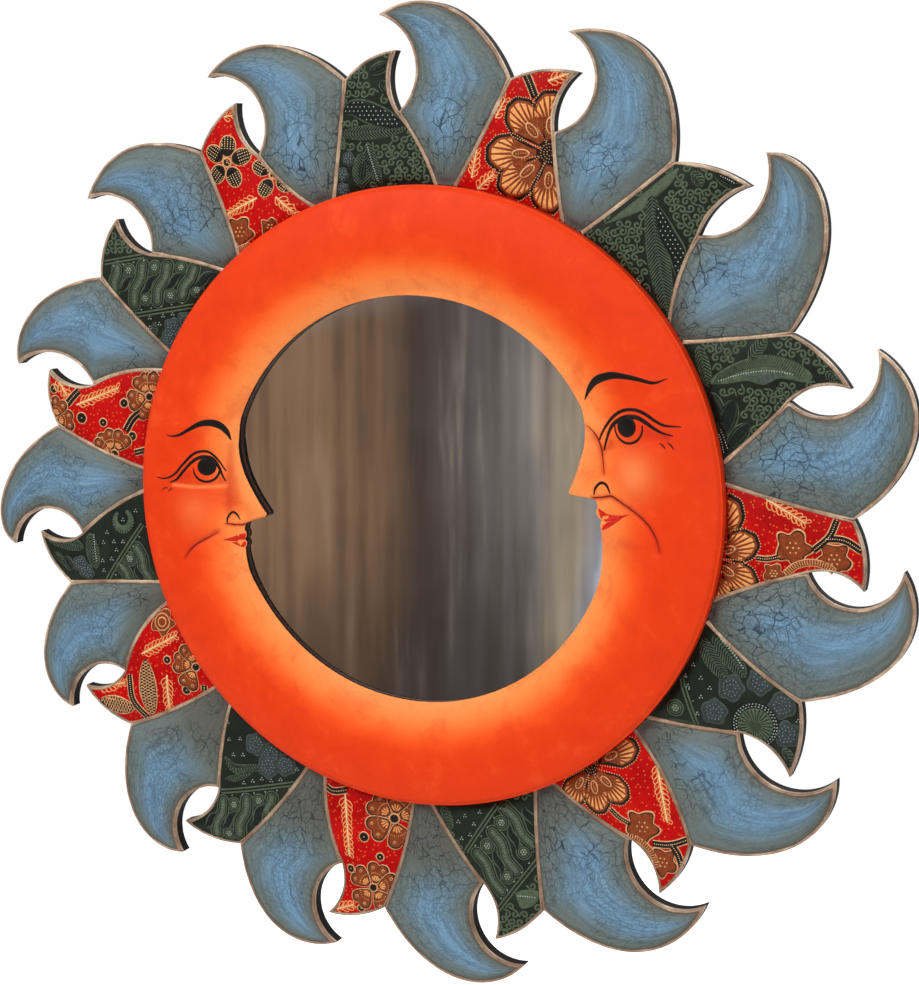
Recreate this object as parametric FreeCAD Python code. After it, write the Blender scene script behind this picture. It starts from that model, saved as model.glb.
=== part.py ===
import FreeCAD, Part
import math
import os
from collections import namedtuple

# Sun and moon wall mirror, in millimetres. +Z is up, the front faces -Y and the wall is the plane Y = 0.
# Shapes are drawn about the axis of the ring, then moved so that the origin lies on the wall
# at the height of the hanging ring's bar.

# Driving sizes of the ring
RING_R = 188.0
WINDOW_R = 124.0
RING_EDGE_T = 10.0
RING_CROWN_T = 16.0
RING_CROWN_R = 152.0
RING_EDGE_ROUND = 2.5
LIP_T = 3.0
LIP_REACH = 1.0
RISE_SHARE = 0.68
FALL_SHARE = 0.76
BACK_RECESS = 7.0

# Laps of the ring over the rays and the glass, as shares of the ring's band
FLANGE_LAP_SHARE = 0.3125
GLASS_LAP_SHARE = 0.1875

# Driving sizes of the rays
RAY_T = 10.5
RAY_LENGTH = 114.0
BLUE_CROWN = 6.0
BATIK_CROWN = 3.5
NECK_WIDTH = 9.0
NECK_START = 3.0
RAY_GAP = 0.3
SEAT_GAP = 0.1

# Each blue ray, clockwise from the top: angle of its neck, then places in degrees anticlockwise of the neck
# or as degrees and the share of the ray's length beyond the ring. They run from the side next to its batik
# ray over the tip to the shoulder on the other side, and end with the tip of that batik ray.
Flame = namedtuple("Flame", "neck counter notch hollow tip crest shoulder side batik_tip")
BLUE_RAYS = [Flame(*places) for places in (
    (86.0, 4.8, (8.2, 0.38), 5.3, (9.9, 0.89), (4.8, 0.945), (-8.1, 0.59), -5.0, (8.0, 0.70)),
    (60.3, 6.5, (9.4, 0.395), 6.1, (11.8, 0.895), (5.1, 0.98), (-7.6, 0.575), -4.7, (8.9, 0.72)),
    (33.5, 7.6, (9.9, 0.39), 7.1, (11.4, 0.92), (6.9, 1.015), (-8.3, 0.52), -5.3, (9.8, 0.75)),
    (7.1, 6.0, (9.4, 0.395), 6.2, (12.5, 0.895), (5.8, 1.01), (-7.0, 0.65), -4.3, (8.9, 0.71)),
    (-17.9, 6.8, (10.2, 0.44), 6.9, (12.4, 0.917), (6.5, 1.015), (-6.7, 0.605), -4.7, (9.2, 0.735)),
    (-43.1, 6.0, (10.0, 0.415), 6.9, (12.3, 0.955), (7.1, 1.03), (-6.5, 0.64), -2.7, (9.2, 0.755)),
    (-65.8, 5.1, (9.1, 0.435), 6.8, (13.0, 0.94), (6.6, 1.025), (-7.0, 0.635), -4.4, (8.7, 0.765)),
    (-91.0, 5.6, (10.0, 0.45), 7.7, (13.7, 0.92), (8.2, 1.005), (-5.1, 0.64), -2.3, (10.4, 0.765)),
    (-112.8, 4.2, (9.1, 0.465), 6.4, (10.7, 0.92), (5.4, 0.99), (-6.3, 0.65), -3.0, (8.7, 0.765)),
    (-136.5, 5.4, (10.1, 0.46), 7.2, (11.2, 0.92), (6.9, 0.995), (-5.9, 0.62), -2.8, (8.9, 0.76)),
    (-158.6, 3.5, (9.0, 0.475), 6.4, (9.7, 0.895), (5.8, 0.955), (-6.0, 0.60), -3.9, (8.0, 0.75)),
    (-180.7, 4.5, (9.0, 0.46), 5.3, (9.5, 0.91), (6.5, 0.98), (-6.9, 0.60), -3.5, (8.1, 0.73)),
    (-203.9, 4.2, (8.8, 0.42), 6.3, (9.5, 0.91), (6.5, 0.945), (-6.4, 0.595), -3.5, (8.8, 0.71)),
    (-227.4, 5.5, (9.3, 0.405), 6.0, (9.6, 0.90), (5.0, 0.93), (-6.8, 0.59), -4.5, (8.9, 0.69)),
    (-249.8, 6.1, (7.9, 0.395), 4.5, (9.5, 0.90), (5.2, 0.94), (-8.5, 0.59), -5.0, (7.5, 0.70)),
)]

# Cloth colour of the batik ray on the anticlockwise side of each blue ray
BATIK_COLOURS = ["green", "red", "green", "green", "red", "green", "red", "green",
                 "red", "green", "red", "green", "red", "green", "red"]

# Shares of the ray's length at which its two sides and its hollow are given
COUNTER_SHARE = 0.20
SIDE_SHARE = 0.23
HOLLOW_SHARE = 0.62

# Round of a blue ray's back: shares of the way from tip to crest, and from crest to shoulder, along and down
FORE_ROUND = [(0.5, 0.76)]
BACK_ROUND = [(0.32, 0.10), (0.60, 0.36), (0.84, 0.70)]

# A batik ray's back bulges by a share of the ray's length, its hollow by degrees
BATIK_BULGE = 0.035
BATIK_HOLLOW_DEG = 1.1

# Centres of the swellings: degrees anticlockwise of the blue ray's neck, and the share of its length
BLUE_SWELLING = (15.0, 0.68)
BATIK_SWELLING = (2.0, 0.58)

# Distances from the centre of a ray's swelling at which it rises, peaks and ends
SWELL_START = 18.0
SWELL_PEAK = 55.0
SWELL_END = 92.0

# Points of the faces in profile, as shares of the window's radius: in from its circle, and up
SUN_FACE_SHARES = {
    "forehead": (0.181, 0.484),
    "brow": (0.153, 0.363),
    "bridge": (0.177, 0.226),
    "nose": (0.200, 0.153),
    "tip top": (0.230, 0.085),
    "tip": (0.2315, 0.071),
    "tip under": (0.218, 0.0645),
    "nose root": (0.113, 0.048),
    "lip groove": (0.095, 0.024),
    "upper lip": (0.101, -0.008),
    "lip fold": (0.093, -0.036),
    "mouth": (0.069, -0.052),
    "lip swell": (0.079, -0.069),
    "lower lip": (0.077, -0.089),
    "chin": (0.066, -0.202),
    "jaw": (0.085, -0.355),
}
MOON_FACE_SHARES = {
    "jaw": (0.097, -0.452),
    "chin": (0.066, -0.371),
    "lower lip": (0.052, -0.290),
    "lip swell": (0.0605, -0.270),
    "mouth": (0.048, -0.250),
    "lip fold": (0.059, -0.226),
    "upper lip": (0.050, -0.202),
    "lip groove": (0.052, -0.181),
    "nose root": (0.0605, -0.165),
    "tip under": (0.169, -0.127),
    "tip": (0.177, -0.115),
    "tip top": (0.169, -0.102),
    "nose": (0.110, -0.016),
    "bridge": (0.0605, 0.077),
    "brow": (0.027, 0.226),
    "forehead": (0.040, 0.363),
}

# Points of the window between the faces: degrees, and the share of its radius
WINDOW_SHARES = {
    "top": (90, 0.988),
    "upper right": (60, 0.968),
    "lower right": (-61, 1.0),
    "bottom": (-90, 1.004),
    "lower left": (229, 1.006),
    "upper left": (132, 1.020),
}

# Glass, packing and back panel
GLASS_T = 3.0
CARD_T = 1.5
PANEL_T = 3.0
GLASS_PLAY = 0.5

# Wood screws: head and shank radii, length, head height, and the play of a hole around them
SCREW_HEAD_R = 2.9
SCREW_SHANK_R = 1.5
SCREW_HEAD_H = 1.8
SCREW_SINK = 0.2
SCREW_PLAY = 0.05
RAY_SCREW_LENGTH = 19.5
SHORT_SCREW_LENGTH = 12.0
SCREW_POINT = 2.5
SCREW_POINT_SHARE = 0.2

# Turn buttons
BUTTON_COUNT = 6
BUTTON_HALF_WIDTH = 5.5
BUTTON_T = 2.0
BUTTON_LAP = 8.0
BUTTON_CLEAR = 0.3
BUTTON_PLAY = 0.06
BUTTON_HEAD_R = 3.6
BUTTON_HEAD_H = 2.2
BUTTON_HEAD_ROUND_SHARE = 0.6

# Hanger plate and D-ring: the plate's height and the loop are shares of the ring's bare back,
# and the barrel is a share of the loop
HANGER_HEIGHT_SHARE = 0.38
LOOP_SHARE = 0.35
HANGER_WIDTH = 30.0
HANGER_T = 2.0
HANGER_SCREW_SPAN = 20.0
BARREL_SHARE = 0.82
BARREL_WALL = 1.2
WIRE_R = 1.25
WIRE_PLAY = 0.06
WIRE_LIFT = 0.45
LOOP_MARGIN = 0.725

# How far a cutting body runs past the face that it opens, and past the front
CUT_OVER = 1.0
CUT_CLEAR = 30.0

# Places that follow from the sizes above
BAND = RING_R - WINDOW_R
FLANGE_LAP = FLANGE_LAP_SHARE * BAND
GLASS_LAP = GLASS_LAP_SHARE * BAND
BODY_R = RING_R - FLANGE_LAP
TAIL_R = BODY_R + RAY_GAP
SEAT_Y = -RAY_T
FLANGE_Y = SEAT_Y - SEAT_GAP
EDGE_Y = FLANGE_Y - RING_EDGE_T
CROWN_Y = FLANGE_Y - RING_CROWN_T
BACK_Y = -BACK_RECESS
PANEL_FRONT_Y = BACK_Y - PANEL_T
CARD_FRONT_Y = PANEL_FRONT_Y - CARD_T
GLASS_FRONT_Y = CARD_FRONT_Y - GLASS_T
LIP_Y = GLASS_FRONT_Y - LIP_T
GLASS_R = WINDOW_R + GLASS_LAP
REBATE_R = GLASS_R + GLASS_PLAY
SCREW_CIRCLE_R = (BODY_R + RING_R) / 2
BUTTON_CIRCLE_R = (REBATE_R + BODY_R) / 2
BARE_BACK = BODY_R - REBATE_R
HANGER_HEIGHT = HANGER_HEIGHT_SHARE * BARE_BACK
LOOP_R = LOOP_SHARE * BARE_BACK
BARREL_LENGTH = BARREL_SHARE * LOOP_R
PIVOT_R = BODY_R - LOOP_MARGIN - WIRE_R - LOOP_R
PIVOT_Y = BACK_Y + HANGER_T + WIRE_LIFT + WIRE_R
BARREL_R = WIRE_R + WIRE_PLAY + BARREL_WALL
HANGER_TOP = PIVOT_R - BARREL_R
FRONT_CLEAR_Y = CROWN_Y - CUT_CLEAR
GAP_DEG = math.degrees(RAY_GAP / RING_R)

BACKWARDS = FreeCAD.Vector(0, 1, 0)
FORWARDS = FreeCAD.Vector(0, -1, 0)


def vec(x, y, z):
    return FreeCAD.Vector(x, y, z)


def polar(angle_deg, radius, y=0.0):
    angle = math.radians(angle_deg)
    return vec(radius * math.cos(angle), y, radius * math.sin(angle))


def line(a, b):
    return Part.LineSegment(a, b).toShape()


def arc(a, middle, b):
    return Part.Arc(a, middle, b).toShape()


def spline(points):
    curve = Part.BSplineCurve()
    curve.interpolate(points)
    return curve.toShape()


def prism(edges, y_back, y_front):
    """Solid between two depths with the closed outline that the edges draw on the plane Y = 0."""
    face = Part.Face(Part.Wire(edges))
    face.translate(vec(0, y_back, 0))
    return face.extrude(vec(0, y_front - y_back, 0))


def rod(radius, y_back, y_front, x=0.0, z=0.0):
    return Part.makeCylinder(radius, y_back - y_front, vec(x, y_back, z), FORWARDS)


def cone(back_radius, front_radius, y_back, y_front, x, z):
    return Part.makeCone(back_radius, front_radius, y_back - y_front, vec(x, y_back, z), FORWARDS)


def turned(section, centre):
    """Solid of revolution about the Y line through centre; section holds edges in the XY plane."""
    face = Part.Face(Part.Wire(section))
    solid = face.revolve(vec(0, 0, 0), BACKWARDS, 360)
    solid.translate(centre)
    return solid


def screw_point(x, z, y_start):
    return cone(SCREW_SHANK_R, SCREW_SHANK_R * SCREW_POINT_SHARE, y_start, y_start - SCREW_POINT, x, z)


def countersunk_screw(x, z, y_back, length):
    """Flat-headed wood screw driven forwards from the depth y_back."""
    y_neck = y_back - SCREW_HEAD_H
    y_point = y_back - length + SCREW_POINT
    head = cone(SCREW_HEAD_R, SCREW_SHANK_R, y_back, y_neck, x, z)
    shank = rod(SCREW_SHANK_R, y_neck, y_point, x, z)
    point = screw_point(x, z, y_point)
    return head.fuse([shank, point]).removeSplitter()


def countersunk_hole(x, z, y_back, y_end):
    """Room for a countersunk screw whose head lies SCREW_SINK below the face at y_back."""
    y_head = y_back - SCREW_SINK
    y_neck = y_head - SCREW_HEAD_H
    mouth = rod(SCREW_HEAD_R + SCREW_PLAY, y_back + CUT_OVER, y_head, x, z)
    sink = cone(SCREW_HEAD_R + SCREW_PLAY, SCREW_SHANK_R + SCREW_PLAY, y_head, y_neck, x, z)
    shank = rod(SCREW_SHANK_R + SCREW_PLAY, y_neck, y_end, x, z)
    return mouth.fuse([sink, shank])


def ray_point(index, place, turn=0.0):
    """Point of a flame outline: place is degrees from the blue ray's neck and a share of the ray's length."""
    degrees, share = place
    return polar(BLUE_RAYS[index].neck + degrees + turn, RING_R + share * RAY_LENGTH)


def neck_point(index, side, radius, turn=0.0):
    """Point on one side of a blue ray's straight neck."""
    neck_deg = BLUE_RAYS[index].neck + turn
    along = polar(neck_deg, radius)
    across = polar(neck_deg + 90, side * NECK_WIDTH / 2)
    return along + across


def places_between(start, end, shares):
    """Places on the way from one place to another, by shares of the degrees and of the reach."""
    return [(start[0] + (end[0] - start[0]) * turn, start[1] + (end[1] - start[1]) * reach)
            for turn, reach in shares]


def blue_outline(index):
    flame = BLUE_RAYS[index]
    neck_r = RING_R - NECK_START
    back = [flame.tip] + places_between(flame.tip, flame.crest, FORE_ROUND)
    back += [flame.crest] + places_between(flame.crest, flame.shoulder, BACK_ROUND) + [flame.shoulder]
    tip = ray_point(index, flame.tip)
    notch = ray_point(index, flame.notch)
    shoulder = ray_point(index, flame.shoulder)
    tail = [neck_point(index, side, TAIL_R) for side in (-1, 1)]
    neck = [neck_point(index, side, neck_r) for side in (-1, 1)]
    return [
        line(tail[1], neck[1]),
        arc(neck[1], ray_point(index, (flame.counter, COUNTER_SHARE)), notch),
        arc(notch, ray_point(index, (flame.hollow, HOLLOW_SHARE)), tip),
        spline([ray_point(index, place) for place in back]),
        arc(shoulder, ray_point(index, (flame.side, SIDE_SHARE)), neck[0]),
        line(neck[0], tail[0]),
        line(tail[0], tail[1]),
    ]


def batik_outline(index):
    """Ray between the blue ray of this index and the next one anticlockwise, which is the one before it."""
    before = index - 1
    flame = BLUE_RAYS[index]
    left = BLUE_RAYS[before]
    neck_r = RING_R - NECK_START
    tip = ray_point(index, flame.batik_tip, GAP_DEG)
    notch = ray_point(index, flame.notch, GAP_DEG)
    shoulder = ray_point(before, left.shoulder, -GAP_DEG)
    middle = (tip + shoulder) / 2
    back = middle * (1 + BATIK_BULGE * RAY_LENGTH / middle.Length)
    hollow_deg, hollow_share = places_between(flame.notch, flame.batik_tip, [(0.5, 0.5)])[0]
    hollow = ray_point(index, (hollow_deg + BATIK_HOLLOW_DEG, hollow_share), GAP_DEG)
    right_tail = neck_point(index, 1, TAIL_R, GAP_DEG)
    left_tail = neck_point(before, -1, TAIL_R, -GAP_DEG)
    right_neck = neck_point(index, 1, neck_r, GAP_DEG)
    left_neck = neck_point(before, -1, neck_r, -GAP_DEG)
    tail_middle = polar(batik_middle_deg(index), right_tail.Length)
    return [
        line(right_tail, right_neck),
        arc(right_neck, ray_point(index, (flame.counter, COUNTER_SHARE), GAP_DEG), notch),
        arc(notch, hollow, tip),
        arc(tip, back, shoulder),
        arc(shoulder, ray_point(before, (left.side, SIDE_SHARE), -GAP_DEG), left_neck),
        line(left_neck, left_tail),
        arc(left_tail, tail_middle, right_tail),
    ]


def swell(centre, crown):
    """Turned body whose front swells by crown above the ray's edge, along a ring about the centre."""
    outer = RAY_LENGTH + FLANGE_LAP + NECK_WIDTH
    start = vec(SWELL_START, SEAT_Y, 0)
    peak = vec(SWELL_PEAK, SEAT_Y - crown, 0)
    end = vec(SWELL_END, SEAT_Y, 0)
    rim = vec(outer, SEAT_Y, 0)
    section = [
        line(vec(0, 0, 0), vec(outer, 0, 0)),
        line(vec(outer, 0, 0), rim),
        line(rim, end),
        arc(end, peak, start),
        line(start, vec(0, SEAT_Y, 0)),
        line(vec(0, SEAT_Y, 0), vec(0, 0, 0)),
    ]
    return turned(section, centre)


def carved_ray(edges, swell_centre, crown, screw_deg):
    """Flame ray with a swelling front, a flat seat under the ring's rim and its screw hole."""
    blank = prism(edges, 0, FRONT_CLEAR_Y)
    ray = blank.common(swell(swell_centre, crown))
    ray = ray.cut(rod(RING_R + RAY_GAP, SEAT_Y, FRONT_CLEAR_Y))
    screw = polar(screw_deg, SCREW_CIRCLE_R)
    return ray.cut(countersunk_hole(screw.x, screw.z, 0, FLANGE_Y))


def batik_middle_deg(index):
    right_deg = BLUE_RAYS[index].neck
    return right_deg + ((BLUE_RAYS[index - 1].neck - right_deg) % 360) / 2


def ray_screw_angles():
    angles = []
    for index, flame in enumerate(BLUE_RAYS):
        angles.append(flame.neck)
        angles.append(batik_middle_deg(index))
    return angles


def ring_section():
    """Half section of the ring blank: X is the radius, Y the depth."""
    lip_end = WINDOW_R + LIP_REACH
    edge_r = RING_R - RING_EDGE_ROUND
    inner = [vec(0, BACK_Y, 0), vec(0, LIP_Y, 0), vec(lip_end, LIP_Y, 0)]
    crown = vec(RING_CROWN_R, CROWN_Y, 0)
    rise_r = (lip_end + RING_CROWN_R) / 2
    rise = vec(rise_r, LIP_Y + (CROWN_Y - LIP_Y) * RISE_SHARE, 0)
    fall_r = (edge_r + RING_CROWN_R) / 2
    fall = vec(fall_r, EDGE_Y + (CROWN_Y - EDGE_Y) * FALL_SHARE, 0)
    edge = vec(edge_r, EDGE_Y, 0)
    side = vec(RING_R, EDGE_Y + RING_EDGE_ROUND, 0)
    under = [vec(RING_R, FLANGE_Y, 0), vec(BODY_R, FLANGE_Y, 0), vec(BODY_R, BACK_Y, 0)]
    return [
        line(inner[0], inner[1]),
        line(inner[1], inner[2]),
        arc(inner[2], rise, crown),
        arc(crown, fall, edge),
        line(edge, side),
        line(side, under[0]),
        line(under[0], under[1]),
        line(under[1], under[2]),
        line(under[2], inner[0]),
    ]


def face_points(face, side):
    """Points of a face in profile by name, on the right (side 1) or the left (side -1)."""
    points = {}
    for name, (inset, up) in face.items():
        points[name] = vec(side * (1 - inset) * WINDOW_R, 0, up * WINDOW_R)
    return points


def window_point(name):
    degrees, share = WINDOW_SHARES[name]
    return polar(degrees, share * WINDOW_R)


def sun_profile(at):
    """Edges down the sun's face, from the forehead to the chin."""
    return [
        arc(at["forehead"], at["brow"], at["bridge"]),
        arc(at["bridge"], at["nose"], at["tip top"]),
        arc(at["tip top"], at["tip"], at["tip under"]),
        line(at["tip under"], at["nose root"]),
        arc(at["nose root"], at["lip groove"], at["upper lip"]),
        arc(at["upper lip"], at["lip fold"], at["mouth"]),
        arc(at["mouth"], at["lip swell"], at["lower lip"]),
        arc(at["lower lip"], at["chin"], at["jaw"]),
    ]


def moon_profile(at):
    """Edges up the moon's face, from the chin to the forehead."""
    return [
        arc(at["jaw"], at["chin"], at["lower lip"]),
        arc(at["lower lip"], at["lip swell"], at["mouth"]),
        arc(at["mouth"], at["lip fold"], at["upper lip"]),
        arc(at["upper lip"], at["lip groove"], at["nose root"]),
        line(at["nose root"], at["tip under"]),
        arc(at["tip under"], at["tip"], at["tip top"]),
        arc(at["tip top"], at["nose"], at["bridge"]),
        arc(at["bridge"], at["brow"], at["forehead"]),
    ]


def window_edges():
    """Outline of the opening in front of the glass, with the two faces in profile."""
    sun = face_points(SUN_FACE_SHARES, 1)
    moon = face_points(MOON_FACE_SHARES, -1)
    top = window_point("top")
    bottom = window_point("bottom")
    edges = [arc(top, window_point("upper right"), sun["forehead"])]
    edges += sun_profile(sun)
    edges.append(arc(sun["jaw"], window_point("lower right"), bottom))
    edges.append(arc(bottom, window_point("lower left"), moon["jaw"]))
    edges += moon_profile(moon)
    edges.append(arc(moon["forehead"], window_point("upper left"), top))
    return edges


def sun_moon_ring():
    ring = turned(ring_section(), vec(0, 0, 0))
    ring = ring.cut(rod(REBATE_R, 0, GLASS_FRONT_Y))
    ring = ring.cut(prism(window_edges(), 0, FRONT_CLEAR_Y))
    holes = []
    for angle in ray_screw_angles():
        place = polar(angle, SCREW_CIRCLE_R)
        y_end = -SCREW_SINK - RAY_SCREW_LENGTH - SCREW_PLAY
        holes.append(rod(SCREW_SHANK_R + SCREW_PLAY, 0, y_end, place.x, place.z))
    for angle in button_angles():
        place = polar(angle, BUTTON_CIRCLE_R)
        y_end = BACK_Y - SHORT_SCREW_LENGTH - SCREW_PLAY
        holes.append(rod(SCREW_SHANK_R + SCREW_PLAY, 0, y_end, place.x, place.z))
    for x, z in hanger_screw_places():
        y_end = BACK_Y + HANGER_T - SHORT_SCREW_LENGTH - SCREW_SINK - SCREW_PLAY
        holes.append(rod(SCREW_SHANK_R + SCREW_PLAY, 0, y_end, x, z))
    return ring.cut(holes)


def button_angles():
    return [index * 360 / BUTTON_COUNT for index in range(BUTTON_COUNT)]


def turn_button(angle):
    """Flat bar with round ends, drawn along +X from its screw and then set to point at the axis."""
    reach = BUTTON_CIRCLE_R - (GLASS_R - BUTTON_LAP) - BUTTON_HALF_WIDTH
    half = BUTTON_HALF_WIDTH
    edges = [
        line(vec(0, 0, -half), vec(reach, 0, -half)),
        arc(vec(reach, 0, -half), vec(reach + half, 0, 0), vec(reach, 0, half)),
        line(vec(reach, 0, half), vec(0, 0, half)),
        arc(vec(0, 0, half), vec(-half, 0, 0), vec(0, 0, -half)),
    ]
    y_front = BACK_Y + BUTTON_CLEAR
    bar = prism(edges, y_front + BUTTON_T, y_front)
    bar = bar.cut(rod(SCREW_SHANK_R + BUTTON_PLAY, 0, FRONT_CLEAR_Y))
    bar.rotate(vec(0, 0, 0), FORWARDS, angle + 180)
    place = polar(angle, BUTTON_CIRCLE_R)
    bar.translate(place)
    return bar


def button_screw(angle):
    """Round-headed screw that a turn button turns on."""
    place = polar(angle, BUTTON_CIRCLE_R)
    y_under = BACK_Y + BUTTON_CLEAR + BUTTON_T + BUTTON_CLEAR
    y_back = y_under + BUTTON_HEAD_H
    y_point = BACK_Y - SHORT_SCREW_LENGTH + SCREW_POINT
    head = rod(BUTTON_HEAD_R, y_back, y_under, place.x, place.z)
    rims = [edge for edge in head.Edges if edge.BoundBox.YMin > (y_under + y_back) / 2]
    head = head.makeFillet(BUTTON_HEAD_H * BUTTON_HEAD_ROUND_SHARE, rims)
    shank = rod(SCREW_SHANK_R, y_under, y_point, place.x, place.z)
    point = screw_point(place.x, place.z, y_point)
    return head.fuse([shank, point]).removeSplitter()


def hanger_screw_places():
    z = HANGER_TOP - HANGER_HEIGHT / 2
    return [(-HANGER_SCREW_SPAN / 2, z), (HANGER_SCREW_SPAN / 2, z)]


def hanger_plate():
    """Screwed plate whose tongue is rolled into a barrel around the D-ring's bar."""
    y_back = BACK_Y + HANGER_T
    bottom = HANGER_TOP - HANGER_HEIGHT
    plate = Part.makeBox(HANGER_WIDTH, HANGER_T, HANGER_HEIGHT, vec(-HANGER_WIDTH / 2, BACK_Y, bottom))
    tongue_height = PIVOT_R - HANGER_TOP + BARREL_R / 2
    tongue = Part.makeBox(BARREL_LENGTH, HANGER_T, tongue_height, vec(-BARREL_LENGTH / 2, BACK_Y, HANGER_TOP))
    start = vec(-BARREL_LENGTH / 2, PIVOT_Y, PIVOT_R)
    barrel = Part.makeCylinder(BARREL_R, BARREL_LENGTH, start, vec(1, 0, 0))
    bore = Part.makeCylinder(WIRE_R + WIRE_PLAY, BARREL_LENGTH, start, vec(1, 0, 0))
    plate = plate.fuse([tongue, barrel]).cut(bore)
    for x, z in hanger_screw_places():
        plate = plate.cut(countersunk_hole(x, z, y_back, BACK_Y - CUT_OVER))
    return plate.removeSplitter()


def hanging_ring():
    """D-ring of round wire: a straight bar in the barrel and a half loop above it."""
    centre = vec(0, PIVOT_Y, PIVOT_R)
    left = vec(-LOOP_R, PIVOT_Y, PIVOT_R)
    bar = Part.makeCylinder(WIRE_R, 2 * LOOP_R, left, vec(1, 0, 0))
    circle = Part.Wire(Part.makeCircle(WIRE_R, vec(LOOP_R, PIVOT_Y, PIVOT_R), vec(0, 0, 1)))
    loop = Part.Face(circle).revolve(centre, FORWARDS, 180)
    corners = [Part.makeSphere(WIRE_R, vec(side * LOOP_R, PIVOT_Y, PIVOT_R)) for side in (-1, 1)]
    return loop.fuse([bar] + corners).removeSplitter()


def all_parts():
    parts = {}
    for index, flame in enumerate(BLUE_RAYS):
        number = index + 1
        blue_centre = ray_point(index, BLUE_SWELLING)
        blue = carved_ray(blue_outline(index), blue_centre, BLUE_CROWN, flame.neck)
        parts[f"blue_ray_{number:02d}"] = blue
        batik_centre = ray_point(index, BATIK_SWELLING)
        batik_deg = batik_middle_deg(index)
        batik = carved_ray(batik_outline(index), batik_centre, BATIK_CROWN, batik_deg)
        parts[f"{BATIK_COLOURS[index]}_ray_{number:02d}"] = batik
    parts["sun_moon_ring"] = sun_moon_ring()
    parts["mirror_glass"] = rod(GLASS_R, CARD_FRONT_Y, GLASS_FRONT_Y)
    parts["packing_card"] = rod(GLASS_R, PANEL_FRONT_Y, CARD_FRONT_Y)
    parts["back_panel"] = rod(GLASS_R, BACK_Y, PANEL_FRONT_Y)
    ray_screws = []
    for angle in ray_screw_angles():
        place = polar(angle, SCREW_CIRCLE_R)
        ray_screws.append(countersunk_screw(place.x, place.z, -SCREW_SINK, RAY_SCREW_LENGTH))
    parts["ray_screws"] = Part.makeCompound(ray_screws)
    for index, angle in enumerate(button_angles()):
        parts[f"turn_button_{index + 1}"] = turn_button(angle)
    parts["turn_button_screws"] = Part.makeCompound([button_screw(angle) for angle in button_angles()])
    parts["hanger_plate"] = hanger_plate()
    parts["hanging_ring"] = hanging_ring()
    head_y = BACK_Y + HANGER_T - SCREW_SINK
    hanger_screws = [countersunk_screw(x, z, head_y, SHORT_SCREW_LENGTH) for x, z in hanger_screw_places()]
    parts["hanger_screws"] = Part.makeCompound(hanger_screws)
    return parts


def main():
    os.makedirs("parts", exist_ok=True)
    for name, shape in all_parts().items():
        shape.translate(vec(0, 0, -PIVOT_R))
        shape.exportStep(f"parts/{name}.step")
        box = shape.BoundBox
        print(name, len(shape.Solids), "valid" if shape.isValid() else "NOT VALID", round(shape.Volume, 1),
              [round(v, 1) for v in (box.XMin, box.XMax, box.YMin, box.YMax, box.ZMin, box.ZMax)])


main()
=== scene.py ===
"""Looks of the sun and moon mirror: thirty painted flame rays round an orange ring with two faces."""

import math

import bpy
import numpy as np
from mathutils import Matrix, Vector, geometry
from mathutils.bvhtree import BVHTree


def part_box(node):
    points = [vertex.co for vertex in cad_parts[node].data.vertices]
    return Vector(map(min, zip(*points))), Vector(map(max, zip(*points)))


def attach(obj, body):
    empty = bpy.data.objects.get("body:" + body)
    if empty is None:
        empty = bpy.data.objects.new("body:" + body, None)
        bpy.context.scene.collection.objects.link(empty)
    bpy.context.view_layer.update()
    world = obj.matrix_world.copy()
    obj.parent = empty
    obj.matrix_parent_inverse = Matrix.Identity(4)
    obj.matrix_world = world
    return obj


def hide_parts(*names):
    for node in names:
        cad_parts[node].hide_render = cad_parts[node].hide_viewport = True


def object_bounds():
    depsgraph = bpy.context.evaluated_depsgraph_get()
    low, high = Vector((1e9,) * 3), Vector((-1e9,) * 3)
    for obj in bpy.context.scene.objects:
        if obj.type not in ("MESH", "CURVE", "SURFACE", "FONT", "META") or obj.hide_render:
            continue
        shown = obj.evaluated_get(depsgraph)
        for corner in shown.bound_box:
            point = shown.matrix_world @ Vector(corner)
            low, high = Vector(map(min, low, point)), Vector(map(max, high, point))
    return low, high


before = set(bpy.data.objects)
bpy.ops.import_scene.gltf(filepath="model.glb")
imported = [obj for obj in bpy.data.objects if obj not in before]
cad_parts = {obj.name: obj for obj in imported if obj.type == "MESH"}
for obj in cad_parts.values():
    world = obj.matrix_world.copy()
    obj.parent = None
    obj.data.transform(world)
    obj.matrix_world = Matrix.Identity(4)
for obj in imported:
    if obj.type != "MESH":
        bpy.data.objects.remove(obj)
CAD_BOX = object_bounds()

# Metres in a millimetre, seed of the random draws, and steps of the work on points and curves
MM = 0.001
SEED = 7
POINT_BLOCK = 3000
HEX_ROW = 0.866
CURVE_STEPS = 12
CORNER_DEG = 24
FLAT_GAP = 0.01

# Camera, worked out from the photograph: millimetres and degrees
PHOTO_SIZE = (919, 985)
CAMERA_AIM = Vector((22.4, -10.5, -150.7)) * MM
CAMERA_AZIMUTH = 21.41
CAMERA_ELEVATION = 7.82
CAMERA_DISTANCE = 1464.7 * MM
CAMERA_LENS = 89.0
CAMERA_SENSOR = 36.0

# Stage, in metres: lamps by place, power in watts and size, the world's light, and the floor
LAMPS = {
    "key_light": ((-0.65, -1.45, 1.15), 22.0, 1.1),
    "fill_light": ((1.35, -1.3, 0.25), 8.0, 1.4),
    "back_light": ((0.4, 1.8, 0.7), 14.0, 1.4),
}
WORLD_LIGHT = 0.8
FLOOR_R = 2.5
FLOOR_BELOW = 0.6
FLOOR_CORNERS = 64
FLOOR_GLOW = 0.75

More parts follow.
